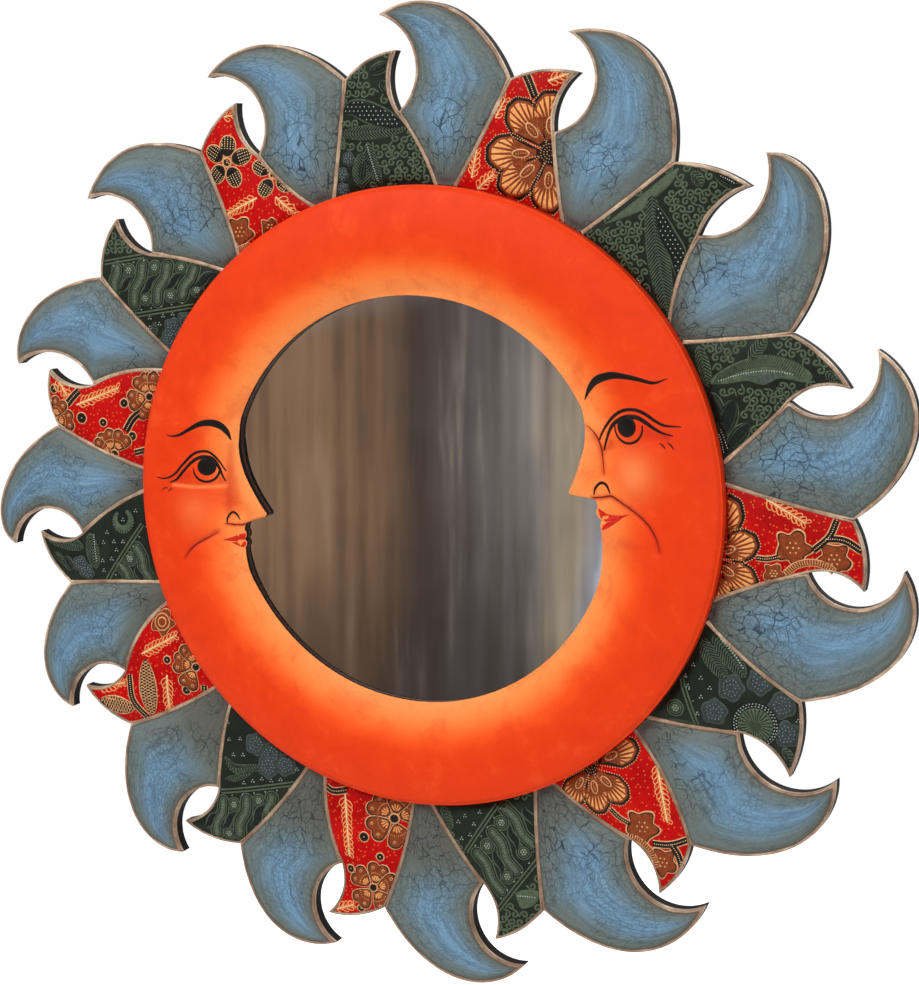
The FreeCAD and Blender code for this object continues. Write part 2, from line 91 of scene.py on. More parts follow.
# Room that the mirror shows, in metres: its screen, and the screen's colours between two places across it
ROOM_LIGHT = 1.25
ROOM_Y = -3.0
ROOM_SIDES = (-4.0, 4.0)
ROOM_HEIGHTS = (-2.6, 2.4)
ROOM_ZONES = (-1.60, -0.80)
ROOM_COLOURS = [
    (0.0, (150, 116, 90)), (0.34, (128, 98, 76)), (0.44, (82, 70, 64)), (0.58, (96, 88, 86)),
    (0.74, (128, 120, 116)), (0.87, (176, 158, 134)), (0.93, (150, 150, 160)), (0.97, (238, 240, 246)),
    (1.0, (206, 206, 212)),
]

# Colours: darkest and lightest shade of each dye and paint, and how much paler than plain each bare wood is
DYES = {
    "cream_print": ((226, 176, 120), (250, 214, 162)),
    "tan_print": ((206, 142, 92), (232, 178, 124)),
    "brown_print": ((116, 48, 18), (146, 68, 30)),
    "petal_print": ((222, 138, 74), (244, 176, 108)),
    "black_print": ((16, 12, 10), (30, 24, 20)),
    "pine_print": ((14, 20, 17), (24, 32, 28)),
    "leaf_print": ((64, 78, 57), (87, 100, 78)),
    "moss_print": ((44, 55, 39), (59, 71, 52)),
    "slate_print": ((54, 63, 64), (72, 83, 85)),
    "dusk_print": ((44, 54, 54), (60, 70, 70)),
    "mist_print": ((106, 116, 116), (140, 150, 148)),
    "white_print": ((148, 157, 148), (192, 199, 189)),
    "brow_paint": ((14, 9, 7), (26, 18, 14)),
    "line_paint": ((96, 26, 14), (128, 36, 18)),
    "lip_paint": ((196, 26, 18), (220, 44, 26)),
}
WOOD_TONES = (0, -12, 9)

# Rays, in millimetres and degrees: depths are counted forwards from the wall
RAY_EDGE = 10.5
RIM_FREE = 1.95
RIM_SHARED = 1.1
RIM_WRAP = 3.0
RIM_REACH = 0.14
RIM_DIP = 0.15
RIM_WAVE = 0.10
RIM_WIDTH_PITCH = 14.0
RIM_HEIGHT_PITCH = 5.0
SHARED_GAP = 2.0
SHARED_BLUR = 5
SWELL_REACH = 9.0
BLUE_CROWN = 5.6
BATIK_CROWN = 3.2
OUTLINE_STEP = 1.8
HOLE_STEP = 1.2
GRID_STEP = 2.4
GRID_CLEAR = 2.7
INNER_ROWS = (1.5, 2.2)
ROW_LEAST = 0.84
TIP_DEG = 40
RAY_SHARP = 38
SCREW_SINK = 2.2
RAY_LANES = 44.0
GRAIN_R = 235.0
GRAIN_STRETCH = 0.08
GRAIN_SHIFT = 60.0
NECK_LOW = 32.0
RING_GAP = 0.4
RING_ROWS = (0.3, 1.1, 1.9, 2.8, 3.7, 4.7, 6.0)
ROWS_CLEAR = 0.6

# Section of the gold rim: share of its width from the edge inwards, and height above the ray's edge plane
RIM_SHARES = (0.0, 0.10, 0.30, 0.55, 0.80, 1.0)
RIM_HEIGHTS = (-1.3, -0.40, 0.25, 0.45, 0.15, -0.15)
BEAD_HEIGHTS = (0.55, 0.54, 0.48, 0.34, 0.08, -0.15)

# Ring, in millimetres and degrees, with its colours from the glass outwards as shares of the glow's reach
SKIN_LIFT = 0.8
SKIN_LEAST = 0.12
SKIN_DEPTH = 1.6
SKIN_OVERHANG = 0.12
RING_STEP = 2.0
FACE_STEP = 1.1
NOSE_DEG = 5.2
WINDOW_LEAST = 96.0
RING_FRONT = 21.5
RING_COUNT = 590
RING_SHARP = 50
WINDOW_INSETS = (0.45, 1.0, 1.7, 2.6, 3.8)
EDGE_INSETS = (0.25, 0.7, 1.3, 2.0, 2.7, 3.6)
INSET_LEAST = 0.93
EDGE_CLEAR = 4.2
WINDOW_CLEAR = 4.4
PAINT_INSET = 1.0
PROFILE_STEP = 0.4
PROFILE_SHORT = 0.1
PROBE_FROM = -200.0
FIT_ROUNDS = 4
LIP_ROUND = 1.6
LIP_DROP = 0.4
FACE_MARGIN = 26.0
SKIN_FOOT = -15.0
BARE_FROM = -11.1
BARE_TO = -10.1
GLOW_REACH = 40.0
GLOW_COLOURS = [
    (0.0, (254, 150, 80)), (0.15, (254, 141, 71)), (0.30, (254, 127, 58)), (0.43, (252, 107, 43)),
    (0.57, (245, 83, 27)), (0.74, (236, 67, 17)), (1.0, (232, 61, 14)),
]

# Printed and painted marks, in millimetres: lifts of their layers, depth of their roots, and their meshes
INK_LIFT = 0.10
INK_LAYER = 0.05
INK_ROOT = 0.15
INK_LANE = 1.5
GRID_INSET = 0.45
DOT_CORNERS = 7

# Batik: depth of the plane on which its pixels lie, share of the rim's width that it runs under, and shapes
PRINT_DEPTH = 13.0
PRINT_EDGE = 0.45
PRINT_MARGIN = 0.1
FAN_DEG = 104
HEART_HALF = [(0.14, 0.0), (0.30, -0.18), (0.55, -0.36), (0.80, -0.44), (0.98, -0.31), (1.0, -0.13),
              (0.92, 0.0)]
HEART_MIDDLE = np.array([0.58, 0.0])
SPRIG_LEAF = [(0, 0), (0.25, 0.52), (0.68, 0.80), (0.95, 0.60), (0.74, 0.32), (0.32, 0.12)]
SPRIG_PITCH = 3.2
SPRIG_LENGTHS = (4.2, 6.2)
SCROLL_PITCH = 5.3
SCROLL_STRAY = 0.7
SCROLL_R = 2.2
SCROLL_TURN = 6.2
SCROLL_CLOSE = 0.70
SCROLL_TAIL = 1.75
SCROLL_LEAN = 0.9
SCROLL_WIDTHS = (1.0, 1.2, 1.15, 1.45)
SCROLL_CLEAR = 1.9
BAR_WIDTH = 6.0
PARANG_INKS = ("leaf", "pine", "leaf", "pine", "leaf")

# Carving of the faces: pixels of the photograph along each swelling or groove, lift and width in mm
SUN_SMILE = [(593.1, 497.8), (602.6, 497.1), (611.4, 496.2), (618.6, 500.7), (629.7, 508.6), (640.9, 517.4),
             (649.7, 527.0), (656.1, 538.9), (660.0, 552.5)]
SUN_NOSE_CREASE = [(587.5, 425.7), (593.9, 432.1), (598.6, 440.0), (601.8, 449.6), (603.4, 462.4),
                   (604.2, 473.5)]
SUN_NOSE = [(588, 428), (584, 452), (577, 478), (574, 489)]
MOON_SMILE = [(185.6, 557.3), (189.6, 550.6), (196.9, 544.0), (206.3, 538.6), (218.4, 531.9)]
MOON_NOSE_CREASE = [(233.7, 446.2), (231.7, 465.0), (229.7, 483.7), (230.4, 503.8), (231.1, 510.5)]
MOON_NOSE = [(240, 448), (241, 470), (250, 495), (262, 512)]
MOON_UNDER_NOSE = [(228.4, 523.2), (237.1, 524.5), (245.8, 523.9), (263.9, 517.8)]
RELIEF = [
    (SUN_NOSE, 2.6, 8.0),
    ([(602, 490)], 1.4, 5.0),
    ([(634, 474)], 2.6, 17.0),
    ([(628, 429)], 1.3, 9.0),
    ([(588, 392), (600, 379), (620, 377), (650, 383)], 1.0, 6.0),
    (SUN_NOSE_CREASE, -0.9, 2.2),
    (SUN_SMILE[2:], -1.2, 2.0),
    ([(606, 452), (628, 446), (650, 441)], -0.5, 1.6),
    ([(606, 505)], 1.2, 6.0),
    ([(604, 517), (628, 516)], -0.7, 1.2),
    ([(612, 556)], 1.5, 14.0),
    (MOON_NOSE, 2.4, 7.0),
    ([(233, 519)], 1.3, 5.0),
    ([(200, 512)], 2.4, 16.0),
    ([(205, 468)], 1.3, 9.0),
    ([(183, 432), (205, 423), (225, 430)], 1.0, 6.0),
    (MOON_NOSE_CREASE, -0.9, 2.4),
    (MOON_SMILE, -1.1, 2.0),
    ([(174, 483), (197, 485), (226, 484)], -0.5, 1.6),
    ([(236, 531)], 1.1, 6.0),
    ([(226, 541), (244, 541)], -0.6, 1.2),
    ([(236, 575)], 1.4, 13.0),
]

# Painted shade in the faces' carved creases and hollows, partly their own sprayed dark red: pixels, share of
# the dark red or of the pale orange, width in mm
CREASE_SHADING = [
    (SUN_NOSE_CREASE, 0.7, 1.5),
    (SUN_SMILE, 0.85, 1.5),
    ([(605, 449), (612, 443)], 0.6, 2.8),
    ([(648, 433), (668, 437)], 0.6, 2.6),
    ([(624, 545)], 0.3, 12.0),
    (MOON_NOSE_CREASE, 0.45, 2.5),
    ([(236, 470), (237, 500)], 0.35, 4.0),
    (MOON_SMILE, 0.7, 1.5),
    (MOON_UNDER_NOSE, 0.9, 1.0),
    ([(222, 479)], 0.5, 2.5),
    ([(180, 478), (190, 474)], 0.4, 2.5),
]
# Painted highlights on the cheeks, nose ridges and lids, partly the faces' own pale orange spray: pixels,
# share of the pale orange, width in mm
PAINTED_HIGHLIGHTS = [
    ([(634, 474)], 0.7, 13.0),
    (SUN_NOSE, 0.35, 5.0),
    ([(600, 424)], 0.3, 6.0),
    ([(196, 510)], 0.3, 12.0),
    (MOON_NOSE, 0.5, 4.5),
    ([(174, 484.6), (200, 486.6), (226, 485.6)], 0.6, 1.0),
]

# Brush strokes of the faces: pixels, widths in mm along the stroke, paint
FACE_STROKES = [
    ([(584.6, 400.2), (588.3, 390.6), (596.3, 380.2), (611.4, 375.5), (626.6, 377.0), (639.3, 379.8),
      (653.7, 383.0), (667.2, 378.6)], (0.3, 3.4, 4.9, 4.4, 3.1, 2.3, 1.8, 0.4), "brow"),
    ([(599.4, 440.0), (604.2, 428.9), (612.2, 417.7), (620.2, 411.7), (628.1, 409.7), (636.9, 410.5),
      (645.7, 414.5), (655.3, 421.2), (664.8, 425.7), (681.6, 427.0)],
     (0.9, 1.7, 2.0, 2.0, 1.9, 1.5, 0.5), "brow"),
    ([(604.2, 450.4), (607.4, 436.9), (612.2, 425.7), (620.2, 419.3), (628.1, 416.9), (636.9, 417.7),
      (644.1, 421.7), (652.1, 427.3), (661.6, 432.9), (673.1, 436.1)],
     (0.9, 1.7, 2.5, 2.8, 2.4, 1.7, 0.6), "brow"),
    ([(659.3, 443.2), (662.4, 445.2), (665.5, 449.3)], (0.5, 1.3, 0.5), "line"),
    ([(666.9, 442.9), (670.7, 445.2), (673.9, 449.9)], (0.5, 1.3, 0.5), "line"),
    (SUN_NOSE_CREASE, (0.3, 0.8, 0.9, 0.6, 0.2), "line"),
    (SUN_SMILE, (0.6, 1.0, 1.0, 0.9, 0.9, 0.7, 0.2), "line"),
    ([(593.9, 495.1), (595.5, 487.9), (601.0, 482.8), (606.6, 485.5), (610.3, 493.5)],
     (0.6, 1.5, 1.7, 1.4, 0.6), "brow"),
    ([(165.5, 434.2), (171.5, 436.2), (179.5, 434.8), (188.9, 429.5), (199.6, 424.1), (210.3, 422.8),
      (219.7, 425.5), (226.4, 431.5), (231.1, 440.2)], (0.3, 1.2, 1.8, 2.3, 3.1, 4.1, 4.5, 3.3, 0.6), "brow"),
    ([(156.8, 477.0), (164.8, 478.4), (174.2, 474.3), (183.5, 463.6), (192.9, 454.3), (202.3, 451.2),
      (210.3, 452.9), (218.4, 460.3), (226.1, 471.0)], (0.5, 1.2, 1.6, 1.8, 1.6, 1.3, 0.6), "brow"),
    ([(170.2, 482.4), (176.9, 479.0), (183.5, 471.0), (190.2, 463.6), (197.6, 458.3), (205.0, 456.9),
      (212.3, 458.9), (218.4, 466.3), (222.4, 475.0), (225.7, 481.0)],
     (0.8, 1.9, 1.8, 2.2, 2.4, 1.6, 0.6), "brow"),
    ([(161.9, 490.7), (164.8, 487.7), (168.2, 488.0)], (0.4, 1.0, 0.4), "line"),
    ([(168.2, 492.0), (170.2, 489.3), (172.6, 488.4)], (0.4, 1.0, 0.4), "line"),
    (MOON_SMILE, (0.2, 0.8, 0.9, 0.7, 0.2), "line"),
    (MOON_UNDER_NOSE, (0.5, 0.9, 0.9, 0.5), "line"),
    ([(227.5, 523.9), (227.7, 517.8), (232.4, 512.1), (237.1, 514.5), (240.4, 519.9)],
     (0.5, 1.2, 1.4, 1.2, 0.5), "brow"),
]

# Lips: pixels round each of the four, and steps of their points in mm
LIPS = [
    [(596.4, 508.4), (601.5, 510.2), (607.0, 514.0), (613.0, 515.4), (621.0, 515.6), (630.5, 514.4),
     (622.0, 518.2), (613.0, 520.4), (606.0, 521.8), (600.5, 517.5)],
    [(600.2, 530.6), (603.0, 525.5), (607.5, 522.2), (614.0, 520.2), (622.5, 518.2), (617.0, 522.2),
     (611.0, 526.4), (605.0, 529.6)],
    [(223.5, 539.6), (230.0, 537.6), (235.5, 535.8), (241.0, 533.6), (247.5, 533.8), (247.5, 541.0),
     (238.0, 541.4), (230.0, 541.0)],
    [(231.5, 542.2), (239.0, 541.8), (247.5, 541.4), (247.5, 548.6), (241.0, 546.6), (236.0, 544.6)],
]
LIP_EDGE_STEP = 0.5
LIP_STEP = 0.7

# Eyes: pixel and radius in mm of the pupil and of the line round the iris, and that line's ends in degrees
EYES = [
    ((626.2, 427.0), 6.1, (627.8, 428.1), 9.0, 172, 372),
    ((206.6, 466.6), 5.6, (205.8, 469.3), 7.8, 176, 372),
]
PUPIL_STEP = 1.4
IRIS_WIDTHS = (0.8, 1.5, 1.5, 0.9)

# Motifs of the batik rays, a row for each: inks, sizes in mm, pixels of the photograph, turns
BATIK = {
    "green_ray_01": {
        "dark_oval": [(5.5, (369, 73), (387, 63)), (4.0, (385, 92), (380, 80)),
            (4.2, (361, 181), (364, 162))],
        "dotted_lens": [(11.5, (340, 113), (355, 108), (380, 117), (402, 126))],
        "feather": [(9.0, (338, 134), (362, 133), (405, 128)), (13.0, (361, 189), (362, 172), (364, 152)),
            (8.0, (367, 142), (373, 165), (381, 186))],
        "dot_petals": [(4.4, (347.6, 158.8), (341, 174.5), (342, 190))],
        "white_beads": [((367, 145), (373, 165), (379, 183))],
        "scrolls": [()],
    },
    "red_ray_02": {
        "fan_flower": [(0.29, (549, 153), (549, 90), (510, 101), (485, 154), (500, 194), (546, 215))],
        "stem": [(4.4, (522, 70), (529, 83), (535, 97))],
        "sprig": [((547, 81), (573, 71)), ((471, 178), (475, 150)), ((474, 191), (494, 174)),
            ((494, 118), (504, 99))],
    },
    "green_ray_03": {
        "blob": [("leaf", (603, 225), (636, 199), (664, 176), (678, 168), (671, 183), (656, 197),
             (642, 210), (620, 219))],
        "feather": [(13.0, (651, 193), (655, 235), (660, 270), (667, 318)),
            (7.0, (690, 172), (697, 178), (702, 187))],
        "dotted_lens": [(9.5, (657, 206), (667, 234), (677, 255), (680, 284))],
        "dark_oval": [(6.5, (714, 173), (741, 188))],
        "white_beads": [((720, 176), (728, 180), (735, 184)), ((636, 279), (643, 289), (652, 301))],
        "scrolls": [()],
    },
    "green_ray_04": {
        "blob": [("leaf", (707, 384), (719, 372), (740, 361), (764, 355), (788, 359), (805, 368),
             (812, 376), (807, 383), (790, 380), (777, 379), (764, 385), (747, 381), (725, 384)),
            ("slate", (745, 377), (764, 371), (784, 374), (777, 379), (764, 384))],
        "hatch": [(8.0, 62, (716, 379), (740, 367), (764, 361), (786, 364), (804, 374))],
        "white_beads": [((719, 381), (734, 376), (753, 372), (773, 371), (795, 375)),
            ((715, 428), (720, 441), (723, 455)), ((720, 430), (724, 440), (727, 451))],
        "feather": [(8.5, (697, 346), (703, 366), (708, 388)), (8.0, (748, 360), (756, 350), (766, 338)),
            (6.5, (824, 372), (832, 378), (840, 389))],
        "dark_oval": [(11.0, (708, 392), (719, 423)), (10.0, (734, 400), (722, 436)),
            (8.0, (748, 424), (728, 447))],
        "scrolls": [()],
    },
    "red_ray_05": {
        "fan_flower": [(0.28, (704, 558), (735, 497), (759, 540), (756, 588), (725, 606))],
        "sprig": [((764, 499), (806, 524))],
        "stem": [(2.6, (756, 558), (768, 559), (782, 556)), (3.6, (836, 521), (829, 537), (813, 551)),
            (3.6, (826, 539), (844, 541), (861, 552))],
        "lobed_leaf": [(9.6, 0.4, (793, 548)), (9.0, 1.7, (834, 560)), (5.5, 0.9, (773, 574))],
        "fringe": [(3.4, (785, 574), (796, 566), (812, 563), (829, 569), (842, 582))],
    },
    "green_ray_06": {
        "feather": [(10.0, (699, 637), (711, 658), (727, 680)), (10.5, (712, 635), (728, 655), (745, 678)),
            (6.0, (781, 749), (787, 755), (790, 766))],
        "big_beads": [((720, 640), (733, 655), (744, 671))],
        "dot_petals": [(8.0, (731, 688), (760, 682), (782, 706), (786, 735), (714, 712))],
        "fan_heart": [(10.5, (755, 726))],
        "clusters": [((693, 665), (701, 678), (688, 686), (710, 688), (701, 697), (697, 714), (685, 676),
             (797, 722))],
        "rosette": [(4.8, (675, 708))],
        "border": [((681, 678), (696, 726))],
        "blob": [("moss", (652, 724), (670, 719), (692, 724), (672, 729))],
    },
    "red_ray_07": {
        "fan_flower": [(0.28, (590, 765), (637, 745), (627, 802), (600, 815), (566, 806))],
        "sprig": [((655, 763), (667, 823))],
        "stem": [(2.6, (610, 809), (618, 817), (629, 824)), (3.6, (690, 840), (671, 845), (652, 844)),
            (3.6, (671, 845), (677, 855), (681, 870))],
        "lobed_leaf": [(9.4, 1.0, (642, 827)), (8.2, 2.2, (662, 863))],
        "fringe": [(3.2, (627, 836), (639, 842), (650, 852), (656, 868))],
    },
    "green_ray_08": {
        "feather": [(8.0, (441, 806), (446, 818), (449, 832))],
        "clusters": [((465, 816), (474, 824), (461, 839), (480, 812), (458, 822), (470, 835))],
        "border": [((497, 805), (465, 852)), ((497, 911), (539, 858))],
        "bar": [((505, 808), (532, 846)), ((493, 832), (516, 871)), ((477, 854), (501, 892))],
        "rosette": [(4.5, (501.7, 822.5)), (4.5, (487.5, 845.8)), (4.5, (523.3, 852.5)),
            (4.5, (507.5, 876.7))],
        "almond": [(4.2, (510, 825), (517, 850)), (4.2, (495, 849), (502.5, 875)),
            (4.2, (523, 806), (533, 828))],
        "clear": [((465, 852), (497, 805), (545, 800), (545, 850), (497, 911)),
            ((440, 800), (500, 800), (465, 852))],
        "blob": [("leaf", (515, 893), (525, 890), (538, 893), (534, 905), (522, 909), (517, 900))],
        "white_beads": [((518, 896), (527, 897), (536, 899))],
        "scrolls": [()],
    },
    "red_ray_09": {
        "sprig": [((345, 793), (349, 857)), ((335, 910), (353, 905))],
        "heart_flower": [(19.0, (394.2, 818.7), 145, 211, 285, 20, 80),
            (16.0, (373.3, 887.5), 75, 146, 226, 302, 14)],
        "berry": [(3.2, (364.2, 836.7)), (2.5, (380, 857)), (2.6, (350, 869)), (2.4, (360, 909))],
        "stem": [(3.8, (318, 781), (331, 791), (347, 790))],
    },
    "green_ray_10": {
        "clusters": [((226, 723), (240, 739), (243, 755), (228, 740), (244, 783), (262, 779), (280, 780),
             (226, 708), (233, 755), (253, 781), (271, 781), (296, 770))],
        "dot_petals": [(7.4, (256, 744), (268, 767), (285, 765), (271, 754))],
        "feather": [(6.5, (223, 757), (236, 769), (262, 767)), (4.5, (224, 779), (236, 778), (252, 772))],
        "border": [((298, 784), (220, 792))],
        "bar": [((222.5, 802), (216, 834)), ((246.7, 800), (239, 834)), ((271, 798), (265, 813))],
        "rosette": [(4.3, (234, 804.5)), (4.3, (258.5, 801)), (4.0, (228.5, 834))],
        "almond": [(4.2, (203, 828), (216, 814)), (4.2, (221, 829), (237, 812)),
            (4.8, (249, 828), (265, 805))],
    },
    "red_ray_11": {
        "heart_flower": [(16.0, (196, 667), 170, 242, 112)],
        "berry": [(2.6, (167.5, 659.7)), (2.8, (185.8, 690.5))],
        "stem": [(3.4, (203, 686), (202, 697)), (3.6, (128, 675), (133, 700), (147, 719))],
        "ringed_flower": [(8.4, (161.5, 622))],
        "sprig": [((141, 654), (177, 635)), ((167, 675), (168, 716)), ((96, 688), (124, 683))],
        "netted_leaf": [(11.5, (145, 659), (151, 716)), (10.5, (98, 701), (135, 709))],
    },
    "green_ray_12": {
        "swirl": [(8.8, (122.5, 520))],
        "clusters": [((106.7, 532.5), (103.3, 542.5), (114, 541.7), (123.3, 541.7), (116.7, 550),
             (102.5, 560.8), (111.7, 559), (103.3, 570.8), (135, 511))],
        "border": [((143, 524), (105, 582))],
        "bar": [((137, 548), (149, 580)), ((122, 568), (131, 586))],
        "rosette": [(4.5, (130, 559))],
        "almond": [(4.0, (136, 566), (140, 584))],
        "feather": [(9.5, (88, 533), (92, 549), (96, 569)), (9.0, (46, 539), (62, 542), (83, 548)),
            (4.5, (54, 552), (60, 558), (63, 566))],
        "white_beads": [((93, 535), (95, 549), (97, 563))],
        "dot_petals": [(5.4, (80, 564), (86, 572))],
        "dark_oval": [(5.4, (64, 556), (72, 571))],
    },
    "red_ray_13": {
        "heart_flower": [(15.5, (149.5, 396.5), 122, 194, 66, 262), (16.0, (113.5, 454), 117, 58, 166),
            (15.5, (52, 420.5), 2, 66)],
        "berry": [(2.9, (124.2, 403)), (2.7, (103.3, 422.5)), (2.9, (132.5, 436)), (3.6, (81.5, 418)),
            (2.9, (52.5, 389))],
        "stem": [(4.6, (141, 412), (133, 419), (126, 431)), (4.6, (77, 391), (72, 397), (67, 404)),
            (3.4, (134, 453), (146, 450))],
        "sprig": [((76, 405), (118, 388)), ((55, 379), (66, 396))],
    },
    "green_ray_14": {
        "border": [((142, 256), (103, 263)), ((131, 316), (194, 306))],
        "bar": [((117.5, 268), (113, 289)), ((142, 266), (133.5, 304)), ((166.5, 266), (157.5, 301)),
            ((193, 269), (182.5, 296))],
        "rosette": [(4.3, (128.5, 270.5)), (4.3, (153.8, 267.5)), (4.3, (145, 298.5)), (4.3, (171, 295.5)),
            (4.3, (197, 290)), (4.0, (180, 267.5))],
        "almond": [(3.8, (118, 291), (133, 277)), (4.2, (141, 294), (157, 275)),
            (4.2, (165, 289), (182, 273)), (4.8, (193, 286), (213, 273))],
        "clear": [((96, 262), (142, 252), (230, 270), (200, 308), (126, 318)),
            ((126, 318), (200, 306), (190, 350), (150, 350))],
        "clusters": [((149, 318), (163, 316), (173, 314), (159, 324), (148, 328))],
        "dot_petals": [(6.6, (173, 328), (186, 322), (168, 341), (181, 336))],
        "feather": [(6.0, (150, 340), (152, 332), (155, 322))],
        "scrolls": [()],
    },
    "red_ray_15": {
        "round_flower": [(16.8, (226.7, 162.5), 88, 20, 298, 226, 148),
            (15.2, (271.7, 175), 152, 240, 324)],
        "sprig": [((257, 198), (221, 217)), ((275, 197), (294, 214)), ((222, 117), (238, 114))],
        "lobed_leaf": [(8.6, 0.9, (239, 232)), (5.6, 0.2, (270, 228))],
        "fringe": [(3.4, (231, 249), (240, 249), (249, 245))],
    },
}

GLASS_BOX = np.array([tuple(corner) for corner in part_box("mirror_glass")]) / MM
CENTRE_Z = GLASS_BOX[:, 2].mean()
RING_R = (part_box("sun_moon_ring")[1][0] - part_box("sun_moon_ring")[0][0]) / 2 / MM


# Plane geometry. Points are rows of (x, z) in millimetres about the mirror's centre.

def heading(angle):
    """Unit vectors at angles in radians."""
    return np.stack([np.cos(angle), np.sin(angle)], -1)


def compass(count):
    """Unit vectors all round, evenly spaced."""
    return heading(np.linspace(0, 2 * math.pi, count, endpoint=False))


def lengths(rows):
    """Length of each row: of points, their distances from the mirror's centre."""
    return np.linalg.norm(rows, axis=1)


def leftward(run):
    """Unit vectors to the left of the given ones."""
    return np.stack([-run[:, 1], run[:, 0]], 1) / np.maximum(lengths(run), 1e-9)[:, None]


def ahead_of(curve):
    """Unit vectors along an open curve's course."""
    run = np.gradient(curve, axis=0)
    return run / lengths(run)[:, None]


def left_of(curve):
    """Unit vectors to the left of an open curve's course."""
    return leftward(np.gradient(curve, axis=0))


def inwards(loop):
    """Unit vectors from an anticlockwise loop to its inside."""
    return leftward(np.roll(loop, -1, axis=0) - np.roll(loop, 1, axis=0))


def nearest(points, line, closed=False):
    """Distance of each point from a line of points, and the index of its nearest stretch."""
    start = line if closed else line[:-1]
    span = (np.roll(line, -1, axis=0) if closed else line[1:]) - start
    length2 = np.maximum((span ** 2).sum(1), 1e-12)
    best = np.empty(len(points))
    which = np.empty(len(points), int)
    for first in range(0, len(points), POINT_BLOCK):
        part = slice(first, first + POINT_BLOCK)
        away = points[part, None, :] - start
        share = np.clip((away * span).sum(2) / length2, 0, 1)
        gap = np.linalg.norm(away - share[..., None] * span, axis=2)
        which[part] = gap.argmin(1)
        best[part] = gap.min(1)
    return best, which


def gap_to(points, loop):
    """Distance of each point from a closed loop."""
    return nearest(points, loop, True)[0]


def inside(points, loop):
    """Which points lie inside a closed loop."""
    x = points[:, 0, None]
    z = points[:, 1, None]
    x0, z0 = loop.T
    x1, z1 = np.roll(loop, -1, axis=0).T
    rise = np.where(z1 == z0, 1e-9, z1 - z0)
    crosses = ((z0 > z) != (z1 > z)) & (x < x0 + (z - z0) * (x1 - x0) / rise)
    return crosses.sum(1) % 2 == 1


def signed_area(loop):
    following = np.roll(loop, -1, axis=0)
    return (loop[:, 0] * following[:, 1] - loop[:, 1] * following[:, 0]).sum() / 2


def turns(loop):
    """Turn at each point of a closed loop, in degrees, positive to the left."""
    before = loop - np.roll(loop, 1, axis=0)
    after = np.roll(loop, -1, axis=0) - loop
    cross = before[:, 0] * after[:, 1] - before[:, 1] * after[:, 0]
    return np.degrees(np.arctan2(cross, (before * after).sum(1)))


def along(line, step):
    """Even points along an open line, its last point left out."""
    length = np.concatenate([[0], np.cumsum(lengths(np.diff(line, axis=0)))])
    count = max(1, int(round(length[-1] / step)))
    at = np.linspace(0, length[-1], count + 1)[:-1]
    return np.stack([np.interp(at, length, column) for column in line.T], 1)


def resample(loop, step):
    """Even points round a closed loop that keep its corners."""
    marks = np.flatnonzero(np.abs(turns(loop)) > CORNER_DEG)
    if len(marks) == 0:
        marks = np.array([0])
    loop = np.roll(loop, -marks[0], axis=0)
    marks = list(marks - marks[0]) + [len(loop)]
    loop = np.vstack([loop, loop[:1]])
    return np.vstack([along(loop[a:b + 1], step) for a, b in zip(marks[:-1], marks[1:])])


def smooth_line(points, step):
    """Catmull-Rom curve through the points, evenly sampled; straight between two."""
    points = np.asarray(points, float)
    padded = np.vstack([2 * points[0] - points[1], points, 2 * points[-1] - points[-2]])
    share = np.linspace(0, 1, CURVE_STEPS, endpoint=False)[:, None]
    rows = []
    for a, b, c, d in zip(padded[:-3], padded[1:-2], padded[2:-1], padded[3:]):
        bend = a - 2.5 * b + 2 * c - d / 2 + share * (1.5 * (b - c) + (d - a) / 2)
        rows.append(b + share * ((c - a) / 2 + share * bend))
    curve = np.vstack(rows + [points[-1:]])
    return np.vstack([along(curve, step), curve[-1:]])


def hex_grid(low, high, step):
    """Points between two corners, each row half a step aside of the last."""
    rows = []
    for row, z in enumerate(np.arange(low[1], high[1], step * HEX_ROW)):
        xs = np.arange(low[0] + (row % 2) * step / 2, high[0], step)
        rows.append(np.stack([xs, np.full(len(xs), z)], 1))
    return np.vstack(rows)


def ramp(value, low, high):
    """Smooth step from 0 to 1 as the value goes from low to high."""
    share = np.clip((value - low) / (high - low), 0, 1)
    return share * share * (3 - 2 * share)


def waves(points, size, seed):
    """Smooth random field between about -1 and 1, with features of the given size."""
    rng = np.random.default_rng(seed)
    total = np.zeros(len(points))
    for _ in range(6):
        angle = rng.uniform(0, 2 * math.pi)
        pitch = size * rng.uniform(0.7, 1.6)
        phase = rng.uniform(0, 2 * math.pi)
        total += np.sin(points @ heading(angle) * 2 * math.pi / pitch + phase)
    return total / 3


def triangulate(points, loops):
    """Points, triangles within the first loop of indices and out of the others, and where each point went."""
    edges = [(a, b) for loop in loops for a, b in zip(loop, loop[1:] + loop[:1])]
    result = geometry.delaunay_2d_cdt([Vector(p) for p in points], edges, [], 0, 1e-6)
    spots = np.array([tuple(v) for v in result[0]])
    triangles = np.array(result[2])
    middle = spots[triangles].mean(1)
    keep = inside(middle, points[loops[0]])
    for hole in loops[1:]:
        keep &= ~inside(middle, points[hole])
    place = {source: index for index, sources in enumerate(result[3]) for source in sources}
    return spots, triangles[keep], place


# Meshes

def lifted(plane, depth):
    """Rows of (x, y, z) of plane points at the given depths."""
    return np.stack([plane[:, 0], np.broadcast_to(depth, len(plane)), plane[:, 1]], 1)


def rows_of(faces):
    return [tuple(face) for face in faces.tolist()]


def shell(faces, size):
    """Faces of a closed shell: those given, the same turned over on points that far on, and walls between."""
    sides = {(a, b) for face in faces for a, b in zip(face, face[1:] + face[:1])}
    under = [tuple(i + size for i in reversed(face)) for face in faces]
    walls = [(a, a + size, b + size, b) for a, b in sorted(sides) if (b, a) not in sides]
    return faces + under + walls


def put_in(name, data):
    """New object in the scene."""
    made = bpy.data.objects.new(name, data)
    bpy.context.scene.collection.objects.link(made)
    return made


